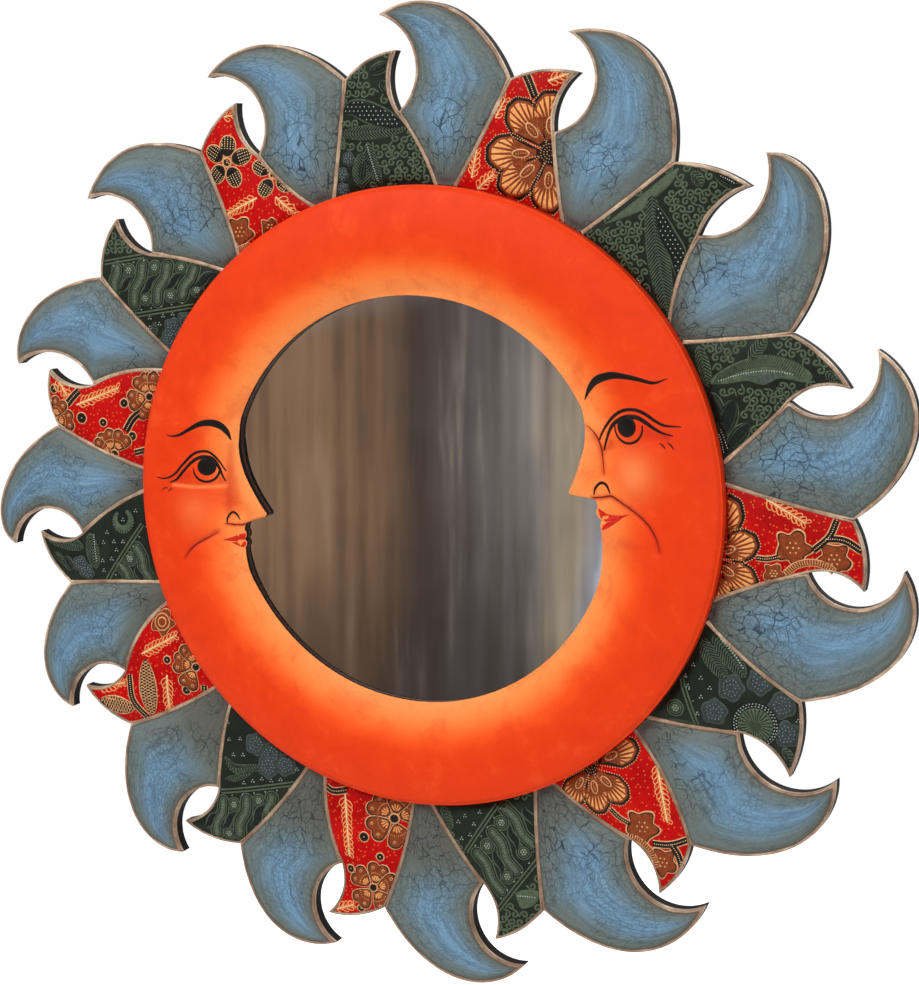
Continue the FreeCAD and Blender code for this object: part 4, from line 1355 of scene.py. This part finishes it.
class Ring:
    """Painted front of the ring, with the sun's and the moon's face carved in it."""

    def __init__(self, eye):
        self.eye = eye
        self.profile = ring_profile()
        loops = flat_loops("sun_moon_ring", GLASS_BOX[0, 1])
        window = min(loops, key=lambda loop: lengths(loop).mean())
        self.window = resample(window, FACE_STEP)
        self.relief, self.creases, self.highlight_marks = (
            [(self.on_bare(pixels), share, width) for pixels, share, width in marks]
            for marks in (RELIEF, CREASE_SHADING, PAINTED_HIGHLIGHTS))
        self.tree = None
        self.border = np.empty((0, 2))

    def bare(self, points):
        """Depth of the CAD ring's front."""
        return np.interp(lengths(points), self.profile[:, 0], self.profile[:, 1])

    def on_bare(self, pixels):
        """Places of pixels on the CAD ring's front, closer with each round."""
        points = self.eye.on_plane(pixels, RING_FRONT)
        for _ in range(FIT_ROUNDS):
            points = self.eye.on_plane(pixels, -self.bare(points))
        return points

    def front(self, points):
        """Depth of the painted front at points of the plane, never behind the CAD ring's own."""
        bare = self.bare(points)
        depth = bare - SKIN_LIFT
        for line, lift, width in self.relief:
            depth -= lift * bell(points, line, width)
        rounding = np.clip(1 - gap_to(points, self.window) / LIP_ROUND, 0, 1)
        depth += LIP_DROP * LIP_ROUND * (1 - np.sqrt(1 - rounding ** 2))
        return np.minimum(depth, bare - SKIN_LEAST)

    def skin_points(self):
        """Rows of points for the skin: the window's edge first, then the rim, then what lies between."""
        inner = inwards(self.window)
        circle = compass(RING_COUNT)
        rows = [self.window + inner * SKIN_OVERHANG, circle * (RING_R + SKIN_OVERHANG)]
        for inset in WINDOW_INSETS:
            row = self.window - inner * inset
            rows.append(row[gap_to(row, self.window) > INSET_LEAST * inset])
        rows += [circle * (RING_R - inset) for inset in EDGE_INSETS]
        marks = np.vstack([line for line, _, _ in self.relief])
        for step, wanted in ((RING_STEP, False), (FACE_STEP, True)):
            grid = hex_grid((-RING_R, -RING_R), (RING_R, RING_R), step)
            reach = lengths(grid)
            grid = grid[(reach < RING_R - EDGE_CLEAR) & (reach > WINDOW_LEAST - EDGE_CLEAR)]
            near = np.abs(grid[:, None, :] - marks[None, ::2]).max(2).min(1) < FACE_MARGIN
            grid = grid[near == wanted]
            grid = grid[~inside(grid, self.window)]
            rows.append(grid[gap_to(grid, self.window) > WINDOW_CLEAR])
        return rows

    def build(self):
        """Closed skin over the front of the CAD ring."""
        rows = self.skin_points()
        count = len(rows[0])
        hole = list(range(count))
        rim = list(range(count, count + len(rows[1])))
        plane, front, place = triangulate(np.vstack(rows), [rim, hole])
        top = lifted(plane, self.front(plane))
        under = lifted(plane, self.bare(plane) + SKIN_DEPTH)
        under[[place[i] for i in rim], 1] = SKIN_FOOT
        faces = shell(rows_of(front), len(plane))
        window_edge = {place[i] for i in hole}
        # The skin's wall at the window takes the dark side paint: the wall's own dark paint and painted shade
        # in the narrow wall
        slots = [int(len(face) == 4 and face[0] in window_edge) for face in faces]
        both = np.vstack([plane, plane])
        fields = {"glow": gap_to(both, self.window)}
        # Fields of painted shade in the creases and of painted highlights, each fading out from its lines
        for name, marks in (("painted_crease_shade", self.creases), ("painted_highlight", self.highlight_marks)):
            clear = np.ones(len(both))
            for line, share, width in marks:
                clear *= 1 - share * bell(both, line, width)
            fields[name] = 1 - clear
        piece = add_object("ring_front", np.vstack([top, under]), faces, [PAINT["orange"], PAINT["side"]],
                           slots, fields, RING_SHARP)
        self.tree = BVHTree.FromPolygons(top.tolist(), front.tolist())

    def place(self, pixels):
        return self.eye.on_tree(pixels, self.tree, RING_FRONT)

    def keep(self, points):
        """Which points lie on the painted front."""
        return (lengths(points) < RING_R - PAINT_INSET) & ~inside(points, self.window)


# Marks

def arc_points(centre, radius, start, end, count=14):
    return np.asarray(centre) + radius * heading(np.radians(np.linspace(start, end, count)))


class Print:
    """Thin painted or printed marks on one carrier, gathered into one piece of closed shells."""

    def __init__(self, name, carrier):
        self.name = name
        self.carrier = carrier
        self.spots = []
        self.lifts = []
        self.faces = []
        self.slots = []
        self.inks = []
        self.count = 0

    def add(self, points, faces, ink, layer):
        """Closed shell on those of the points that the faces use, lifted by its layer and rooted below."""
        used = sorted({i for face in faces for i in face})
        place = {old: new for new, old in enumerate(used, self.count)}
        faces = shell([tuple(place[i] for i in face) for face in faces], len(used))
        if ink not in self.inks:
            self.inks.append(ink)
        self.spots += [points[used], points[used]]
        self.lifts.append(np.repeat([INK_LIFT + layer * INK_LAYER, -INK_ROOT], len(used)))
        self.faces += faces
        self.slots += [self.inks.index(ink)] * len(faces)
        self.count += 2 * len(used)

    def stroke(self, line, width, ink, layer=0, step=0.8, within=None):
        """Brush line through the points with widths along it, cut off outside a loop if one is given."""
        curve = smooth_line(line, step)
        share = np.linspace(0, 1, len(curve))
        width = np.interp(share, np.linspace(0, 1, np.size(width)), np.atleast_1d(width))
        lanes = np.linspace(-0.5, 0.5, 2 + int(width.max() / INK_LANE))
        points = curve[:, None] + lanes[None, :, None] * (width[:, None] * left_of(curve))[:, None]
        good = self.carrier.keep(curve)
        if within is not None:
            good &= inside(curve, within)
        place = np.arange(len(curve) * len(lanes)).reshape(len(curve), -1)
        quads = np.stack([place[:-1, :-1], place[1:, :-1], place[1:, 1:], place[:-1, 1:]], 2)
        quads = quads[good[:-1] & good[1:]].reshape(-1, 4)
        if len(quads):
            self.add(points.reshape(-1, 2), rows_of(quads), ink, layer)

    def patch(self, loop, ink, layer=0, step=1.6):
        """Filled shape within a closed loop of points."""
        if signed_area(loop) < 0:
            loop = loop[::-1]
        grid = hex_grid(loop.min(0), loop.max(0), step)
        grid = grid[inside(grid, loop)]
        grid = grid[gap_to(grid, loop) > step * GRID_INSET]
        edge = self.carrier.border
        edge = edge[inside(edge, loop)]
        plane, faces, _ = triangulate(np.vstack([loop, grid, edge]), [list(range(len(loop)))])
        faces = faces[self.carrier.keep(plane)[faces].all(1)]
        if len(faces):
            self.add(plane, rows_of(faces), ink, layer)

    def dots(self, centres, radius, ink, layer=3):
        """Small round spots, all of one size."""
        centres = np.asarray(centres, float).reshape(-1, 2)
        spot = radius * compass(DOT_CORNERS)
        for centre in centres[self.carrier.keep(centres)]:
            self.add(centre + spot, [tuple(range(DOT_CORNERS))], ink, layer)

    def build(self):
        plane = np.vstack(self.spots)
        spots = lifted(plane, self.carrier.front(plane) - np.concatenate(self.lifts))
        return add_object(self.name, spots, self.faces, [PAINT[ink] for ink in self.inks], self.slots)


# Shapes of the motifs: rows of (along, across) as shares of the motif's length

def oval(centre, radii, count=24):
    return np.asarray(centre) + compass(count) * radii


def fan_shape(spread, reach=1.0, root=0.14):
    """Petal with a scalloped round end."""
    turn = np.linspace(-1, 1, 37)
    scallop = reach * (1 + 0.05 * np.abs(np.sin(2.5 * math.pi * turn)))
    arc = heading(np.radians(FAN_DEG) * turn) * scallop[:, None] * [0.36, spread] + [0.64, 0]
    return np.vstack([[(root, -0.05)], arc, [(root, 0.05)]])


def heart_shape(scale=1.0):
    half = smooth_line(HEART_HALF, 0.06)
    shape = np.vstack([half, half[-2:0:-1] * [1, -1]])
    return HEART_MIDDLE + (shape - HEART_MIDDLE) * scale


def lobed_shape(scale, turn, depth=0.17):
    angle = np.linspace(0, 2 * math.pi, 48, endpoint=False)
    reach = scale * (1 + depth * np.cos(5 * angle + turn) + 0.3 * depth * np.cos(8 * angle))
    return reach[:, None] * heading(angle)


def placed(shape, root, tip):
    """Shape laid with its axis from root to tip."""
    shape = np.asarray(shape, float)
    axis = np.subtract(tip, root)
    return root + shape[:, :1] * axis + shape[:, 1:] * [-axis[1], axis[0]]


def blade(curve, width, blunt=0.6):
    """Outline of a leaf along a curve, narrowing to both ends."""
    share = np.linspace(0, 1, len(curve))
    half = (width / 2 * np.sin(math.pi * share).clip(0) ** blunt)[:, None] * left_of(curve)
    return np.vstack([curve - half, (curve + half)[-2:0:-1]])


def capsule(curve, width):
    """Outline of a band of even width along a curve, with round ends."""
    side = left_of(curve) * width / 2
    turn = np.linspace(0, math.pi, 9)[1:-1, None]
    ends = []
    for spot, across in ((curve[-1], -side[-1]), (curve[0], side[0])):
        ahead = np.array([-across[1], across[0]])
        ends.append(spot + np.cos(turn) * across + np.sin(turn) * ahead)
    return np.vstack([curve - side, ends[0], (curve + side)[::-1], ends[1]])


class Batik(Print):
    """Motifs of one ray's cloth. Places are pixels of the photograph, sizes are millimetres."""

    def __init__(self, ray, eye):
        super().__init__(ray.node + "_print", ray)
        self.eye = eye
        self.taken = []
        self.random = np.random.default_rng([SEED, int(ray.node[-2:])])

    def at(self, *pixels):
        return self.eye.on_plane(pixels, PRINT_DEPTH)

    def spot(self, pixel):
        return self.at(pixel)[0]

    def course(self, pixels, step):
        return smooth_line(self.at(*pixels), step)

    def petals(self, pixel, radius, angles):
        """Middle of a flower and the tips of its petals."""
        centre = self.spot(pixel)
        return centre, centre + radius * heading(np.radians(angles))

    def patch(self, loop, ink, layer=0, step=1.6):
        """Filled shape, which the scrolls keep clear of."""
        super().patch(loop, ink, layer, step)
        self.taken.append(loop)

    def nest(self, loops, inks, first=0):
        """Filled shapes over each other, each with its ink."""
        for layer, (loop, ink) in enumerate(zip(loops, inks), first):
            self.patch(loop, ink, layer)

    def beads(self, line, pitch, radius, ink, layer=3):
        self.dots(along(line, pitch), radius, ink, layer)

    def fan_flower(self, spread, root, *tips):
        """Big flower with veined fans for petals, each with a beaded eye at its foot."""
        root, *tips = self.at(root, *tips)
        for tip in tips:
            edge = placed(fan_shape(spread), root, tip)
            self.patch(edge, "black")
            self.beads(np.vstack([edge, edge[:1]]), 1.6, 0.42, "tan", 1)
            fans = [fan_shape(spread, 0.84, 0.20), fan_shape(spread, 0.72, 0.52)]
            self.nest([placed(fan, root, tip) for fan in fans], ("brown", "petal"), 1)
            for angle in np.radians(np.linspace(-0.8, 0.8, 7) * FAN_DEG):
                end = (0.64 + 0.27 * math.cos(angle), 0.74 * spread * math.sin(angle))
                self.stroke(placed([(0.46, 0.3 * end[1]), end], root, tip), (1.9, 0.9), "brown", 3)
            eyes = [oval((0.44, 0), (0.14, 0.070)), oval((0.44, 0), (0.115, 0.050))]
            self.nest([placed(eye, root, tip) for eye in eyes], ("tan", "brown"), 4)
            self.beads(placed([(0.36, 0), (0.54, 0)], root, tip), 1.5, 0.3, "tan", 6)
        reach = np.linalg.norm(tips[-1] - root)
        self.patch(oval(root, 0.17 * reach), "black", 5)
        for share in (0.05, 0.10, 0.15):
            self.beads(arc_points(root, share * reach, 0, 360, 40), 1.5, 0.34, "tan", 6)

    def heart_flower(self, radius, pixel, *angles):
        """Flower with brown hearts for petals, each with a small fan, a dotted arc and two ringed eyes."""
        centre, tips = self.petals(pixel, radius, angles)
        for index, tip in enumerate(tips):
            hearts = [placed(heart_shape(size), centre, tip) for size in (1.07, 0.99, 0.88)]
            self.nest(hearts, ("tan", "black", "brown"), 3 * (index % 3))
            for across in (-0.14, -0.05, 0.05, 0.14):
                ray = placed([(0.27, across * 0.4), (0.52 - abs(across) * 0.7, across)], centre, tip)
                self.stroke(ray, (0.4, 1.1), "petal", 9)
            self.beads(placed(arc_points((0.2, 0), 0.40, -42, 42), centre, tip), 1.3, 0.32, "tan", 9)
            eyes = placed([(0.78, -0.21), (0.78, 0.21)], centre, tip)
            for size, ink, layer in ((1.15, "tan", 9), (0.75, "brown", 10), (0.35, "tan", 11)):
                self.dots(eyes, size, ink, layer)
        self.nest([oval(centre, share * radius) for share in (0.19, 0.14)], ("tan", "black"), 10)

    def round_flower(self, radius, pixel, *angles):
        """Flower with black petals full of cream dots."""
        centre, tips = self.petals(pixel, radius, angles)
        ahead, aside = np.meshgrid(np.linspace(0.50, 0.92, 6), np.linspace(-0.22, 0.22, 5))
        for tip in tips:
            ovals = [placed(oval((0.59, 0), radii), centre, tip) for radii in ((0.41, 0.33), (0.37, 0.285))]
            self.nest(ovals, ("tan", "black"))
            grid = placed(np.stack([ahead.ravel(), aside.ravel()], 1), centre, tip)
            self.dots(grid[inside(grid, ovals[1])], 0.38, "cream", 2)
        self.nest([oval(centre, share * radius) for share in (0.20, 0.13)], ("tan", "black"), 3)
        self.dots([centre], 0.03 * radius, "tan", 5)

    def lobed_leaf(self, radius, turn, pixel):
        centre = self.spot(pixel)
        self.nest([centre + lobed_shape(radius * share, turn) for share in (1.10, 1.0, 0.92)],
                  ("tan", "black", "brown"))
        ring = arc_points(centre, 0.34 * radius, turn, turn + 300, 6)
        self.dots(np.vstack([[centre], ring]), 0.62, "tan", 3)

    def fringe(self, width, *pixels):
        """Brown band with a row of short tan lines across it."""
        curve = self.course(pixels, 1.5)
        self.stroke(curve, width + 1.2, "tan", 2)
        self.stroke(curve, width, "brown", 3)
        for spot, way in zip(curve, left_of(curve) * width * 0.45):
            self.stroke([spot - way, spot + way], 0.45, "tan", 4)

    def stem(self, width, *pixels):
        """Black stem with a tan edge and a row of cream dots."""
        line = self.at(*pixels)
        self.stroke(line, width + 1.3, "tan", 0)
        self.stroke(line, width, "black", 1)
        self.beads(smooth_line(line, 0.5), 1.3, 0.34, "cream", 3)

    def sprig(self, start, end):
        """Thin cream twig with looped leaves to both sides."""
        root, tip = self.at(start, end)
        reach = np.linalg.norm(tip - root)
        self.stroke([root, tip], (1.1, 0.7), "cream", 1)
        for share in np.linspace(0.08, 0.92, max(3, int(reach / SPRIG_PITCH))):
            for side in (1, -1):
                long = self.random.uniform(*SPRIG_LENGTHS) / reach * (1 - 0.4 * share)
                leaf = np.array(SPRIG_LEAF) * [long, side * long] + [share + side * 0.7 / reach, 0]
                self.stroke(placed(leaf, root, tip), (0.9, 0.65, 0.5, 0.5), "petal", 0, 0.6)

    def berry(self, radius, pixel):
        centre = self.spot(pixel)
        self.nest([oval(centre, radius + 0.4, 18), oval(centre, radius - 0.3, 14)], ("tan", "black"), 1)
        self.dots([centre], 0.4, "cream", 3)

    def ringed_flower(self, radius, pixel):
        """Small brown flower with tan rings."""
        centre = self.spot(pixel)
        loops = [centre + lobed_shape(radius * share, 0.6) for share in (1.0, 0.93)]
        loops += [oval(centre, radius * share) for share in (0.70, 0.60, 0.40, 0.30)]
        self.nest(loops, ("tan", "brown", "tan", "brown", "petal", "brown"))

    def netted_leaf(self, width, start, end):
        """Almond leaf with a net of thin lines."""
        curve = self.course((start, end), 1.0)
        leaf = blade(curve, width)
        self.nest([blade(curve, width + 1.6), leaf], ("tan", "black"))
        for spot, way, ahead in zip(curve[::2], left_of(curve)[::2], ahead_of(curve)[::2]):
            for slant in (0.5, -0.5):
                cross = (way + slant * ahead) * width * 0.6
                self.stroke([spot - cross, spot + cross], 0.42, "tan", 2, 0.6, leaf)

    def scrolls(self):
        """Curling tendrils over what is left free of the cloth."""
        outline = self.carrier.outline
        centres = hex_grid(outline.min(0), outline.max(0), SCROLL_PITCH)
        centres = centres + self.random.uniform(-SCROLL_STRAY, SCROLL_STRAY, centres.shape)
        centres = centres[self.carrier.keep(centres)]
        clear = np.full(len(centres), True)
        for loop in self.taken:
            clear &= ~inside(centres, loop) & (gap_to(centres, loop) > SCROLL_CLEAR)
        share = np.linspace(0, 1, 12)
        reach = SCROLL_R * (1 - SCROLL_CLOSE * share)
        for centre in centres[clear]:
            start = self.random.uniform(0, 2 * math.pi)
            way = self.random.choice((-1, 1))
            curl = centre + heading(start + way * share * SCROLL_TURN) * reach[:, None]
            tail = centre + SCROLL_TAIL * SCROLL_R * heading(start - way * SCROLL_LEAN)
            self.stroke(np.vstack([tail, curl]), SCROLL_WIDTHS, "leaf", 0, 0.7)

    def feather(self, width, *pixels):
        """Leaf along a line, with dark hatching slanted to both sides of its rib."""
        curve = self.course(pixels, 2.0)
        leaf = blade(curve, width, 0.45)
        self.patch(leaf, "leaf")
        for spot, way, ahead in zip(curve, left_of(curve), ahead_of(curve)):
            for hand in (1, -1):
                end = spot + (hand * way + 0.9 * ahead) * width * 0.46
                self.stroke([spot + hand * way * 0.5, end], (0.95, 0.55), "pine", 1, 0.8, leaf)
        self.stroke(curve, 0.5, "moss", 2, 1.0, leaf)

    def blob(self, ink, *pixels):
        """Filled shape with a smooth outline."""
        self.patch(resample(self.course(pixels + pixels[:1], 1.0)[:-1], 1.2), ink)

    def hatch(self, length, turn, *pixels):
        """Row of short parallel lines along a line."""
        way = heading(math.radians(turn)) * length / 2
        for spot in along(self.course(pixels, 0.8), 1.5):
            self.stroke([spot - way, spot + way], (0.6, 0.5), "moss", 2)

    def dotted_lens(self, width, *pixels):
        """Black leaf with a green outline and rows of white dots."""
        curve = self.course(pixels, 1.2)
        leaf = blade(curve, width)
        self.nest([blade(curve, width + 1.8), leaf], ("leaf", "pine"))
        grid = hex_grid(leaf.min(0), leaf.max(0), 2.9)
        grid = grid[inside(grid, leaf)]
        self.dots(grid[gap_to(grid, leaf) > 0.6], 0.42, "white", 2)

    def white_beads(self, *pixels):
        self.beads(self.course(pixels, 0.6), 1.5, 0.4, "white", 4)

    def big_beads(self, *pixels):
        self.beads(self.course(pixels, 0.6), 1.8, 0.5, "white", 4)

    def dark_oval(self, width, start, end):
        """Dark drop shape with green lines round it."""
        curve = self.course((start, end), 1.0)
        self.nest([blade(curve, width + more, 0.5) for more in (2.2, 0.6, -1.4, -2.8)],
                  ("leaf", "pine", "moss", "pine"))

    def dot_petals(self, radius, *pixels):
        """Round slate petals with two rings of dots."""
        for index, centre in enumerate(self.at(*pixels)):
            sizes = [radius * share for share in (1.0, 0.86, 0.76, 0.58, 0.30)]
            loops = [centre + lobed_shape(size, index * 1.3, 0.08) for size in sizes]
            self.nest(loops[:3], ("slate", "moss", "dusk"))
            for row in loops[3:]:
                self.beads(row, 2.1, 0.36, "mist", 3)

    def fan_heart(self, radius, pixel):
        """Green fan within a dark ring that holds two rows of white dots."""
        centre = self.spot(pixel)
        self.nest([oval(centre, radius * 1.35, 40), oval(centre, radius, 36), oval(centre, radius * 0.32)],
                  ("pine", "leaf", "moss"), 2)
        for way in compass(24) * radius * 0.95:
            self.stroke([centre + 0.35 * way, centre + way], (0.35, 0.7), "pine", 4)
        for share in (1.10, 1.24):
            self.beads(arc_points(centre, radius * share, 0, 360, 60), 2.0, 0.42, "white", 4)

    def rosette(self, radius, pixel):
        """Ringed disc of the parang pattern, with a ring of dots."""
        centre = self.spot(pixel)
        self.nest([oval(centre, radius * share) for share in (1.12, 0.94, 0.80, 0.64, 0.54)], PARANG_INKS)
        self.dots(np.vstack([[centre], arc_points(centre, radius * 0.36, 0, 300, 6)]), 0.36, "white", 5)

    def wavy(self, start, end, sway):
        """Line that swings once to each side."""
        root, tip = self.at(start, end)
        return smooth_line(placed([(0, 0), (0.3, sway), (0.5, 0), (0.7, -sway), (1, 0)], root, tip), 1.0)

    def bar(self, start, end):
        """Leaning bar of the parang pattern, with a row of dots on its middle."""
        bend = self.wavy(start, end, 0.05)
        self.nest([capsule(bend, BAR_WIDTH + more) for more in (3.4, 1.8, 0.0, -1.3, -2.3)], PARANG_INKS)
        self.beads(bend, 1.9, 0.32, "mist", 5)

    def almond(self, width, start, end):
        """Dark gap between two bars, narrow at both ends, in a green line."""
        curve = self.wavy(start, end, -0.06)
        self.nest([blade(curve, width + more, 0.8) for more in (1.8, 0.0)], ("leaf", "pine"), 3)

    def border(self, *pixels):
        """Double line, with a row of sparse dots to its left."""
        line = self.at(*pixels)
        side = left_of(line)
        for shift in (-1.1, 1.1):
            self.stroke(line + side * shift, 1.1, "leaf", 6)
        self.beads(line + side * 2.9, 8.0, 0.4, "white", 6)
        self.taken.append(np.vstack([line - side * 2.4, (line + side * 2.4)[::-1]]))

    def clear(self, *pixels):
        """Stretch of the cloth that the scrolls leave free."""
        self.taken.append(self.at(*pixels))

    def clusters(self, *pixels):
        """Groups of three white dots."""
        for centre in self.at(*pixels):
            self.dots(arc_points(centre, 0.95, 90, 330, 3), 0.40, "white", 2)
            self.taken.append(oval(centre, 2.6))

    def swirl(self, radius, pixel):
        """Curled leaf with a rayed edge."""
        centre = self.spot(pixel)
        self.patch(oval(centre, radius * 1.05, 30), "pine")
        self.stroke(arc_points(centre, radius * 0.68, 135, 430, 24), (2.4, 4.6, 5.4, 4.6, 2.2), "leaf", 1)
        for way in radius * heading(np.radians(np.arange(145, 420, 14))):
            self.stroke([centre + 0.72 * way, centre + way], (0.3, 0.6), "pine", 2)
        self.dots(arc_points(centre, 0.95, 90, 330, 3), 0.45, "white", 2)


def print_batik(rays, eye):
    """Motifs of every cloth, one printed piece for each."""
    for node, marks in BATIK.items():
        cloth = Batik(rays[node], eye)
        for motif, rows in marks.items():
            for values in rows:
                getattr(cloth, motif)(*values)
        piece = cloth.build()


def paint_faces(ring):
    """Brows, lids, eyes, creases and lips, brushed on the carved ring."""
    paint = Print("face_paint", ring)
    for pixels, widths, ink in FACE_STROKES:
        paint.stroke(ring.place(pixels), widths, ink)
    for pixels in LIPS:
        paint.patch(along(ring.place(pixels + pixels[:1]), LIP_EDGE_STEP), "lip", 0, LIP_STEP)
    for pupil, radius, iris, iris_radius, start, end in EYES:
        centre, around = ring.place([pupil, iris])
        paint.patch(arc_points(centre, radius, 0, 350, 36), "brow", 1, PUPIL_STEP)
        paint.stroke(arc_points(around, iris_radius, start, end, 18), IRIS_WIDTHS, "brow")
    piece = paint.build()


WOODS = [bare_wood(f"bare_wood_{index + 1}", GRAIN_SHIFT * index, tone)
         for index, tone in enumerate(WOOD_TONES)]
RAYS = make_rays()
EYE = Seen(CAMERA)
RING = Ring(EYE)
RING.build()
paint_faces(RING)
print_batik(RAYS, EYE)

NODE_PAINT = {
    "sun_moon_ring": ring_body(),
    "mirror_glass": mirror_silver(),
    "packing_card": fibre_board("grey_card", (116, 108, 98), (150, 142, 130), 0.5),
    "back_panel": fibre_board("brown_hardboard", (84, 56, 36), (118, 84, 56), 0.6),
    "ray_screws": plated("screw_steel", (96, 92, 86), (168, 166, 162), 0.34),
    "turn_button": plated("brass", (140, 102, 44), (206, 164, 84), 0.30),
    "turn_button_screws": plated("button_screw_steel", (104, 100, 92), (176, 172, 166), 0.32),
    "hanger": plated("hanger_steel", (110, 108, 104), (182, 182, 180), 0.30),
    "hanging_ring": plated("ring_steel", (112, 110, 106), (190, 190, 188), 0.26),
}
for node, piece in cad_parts.items():
    for key in sorted(NODE_PAINT, key=len):
        if node.startswith(key):
            piece.data.materials.clear()
            piece.data.materials.append(NODE_PAINT[key])
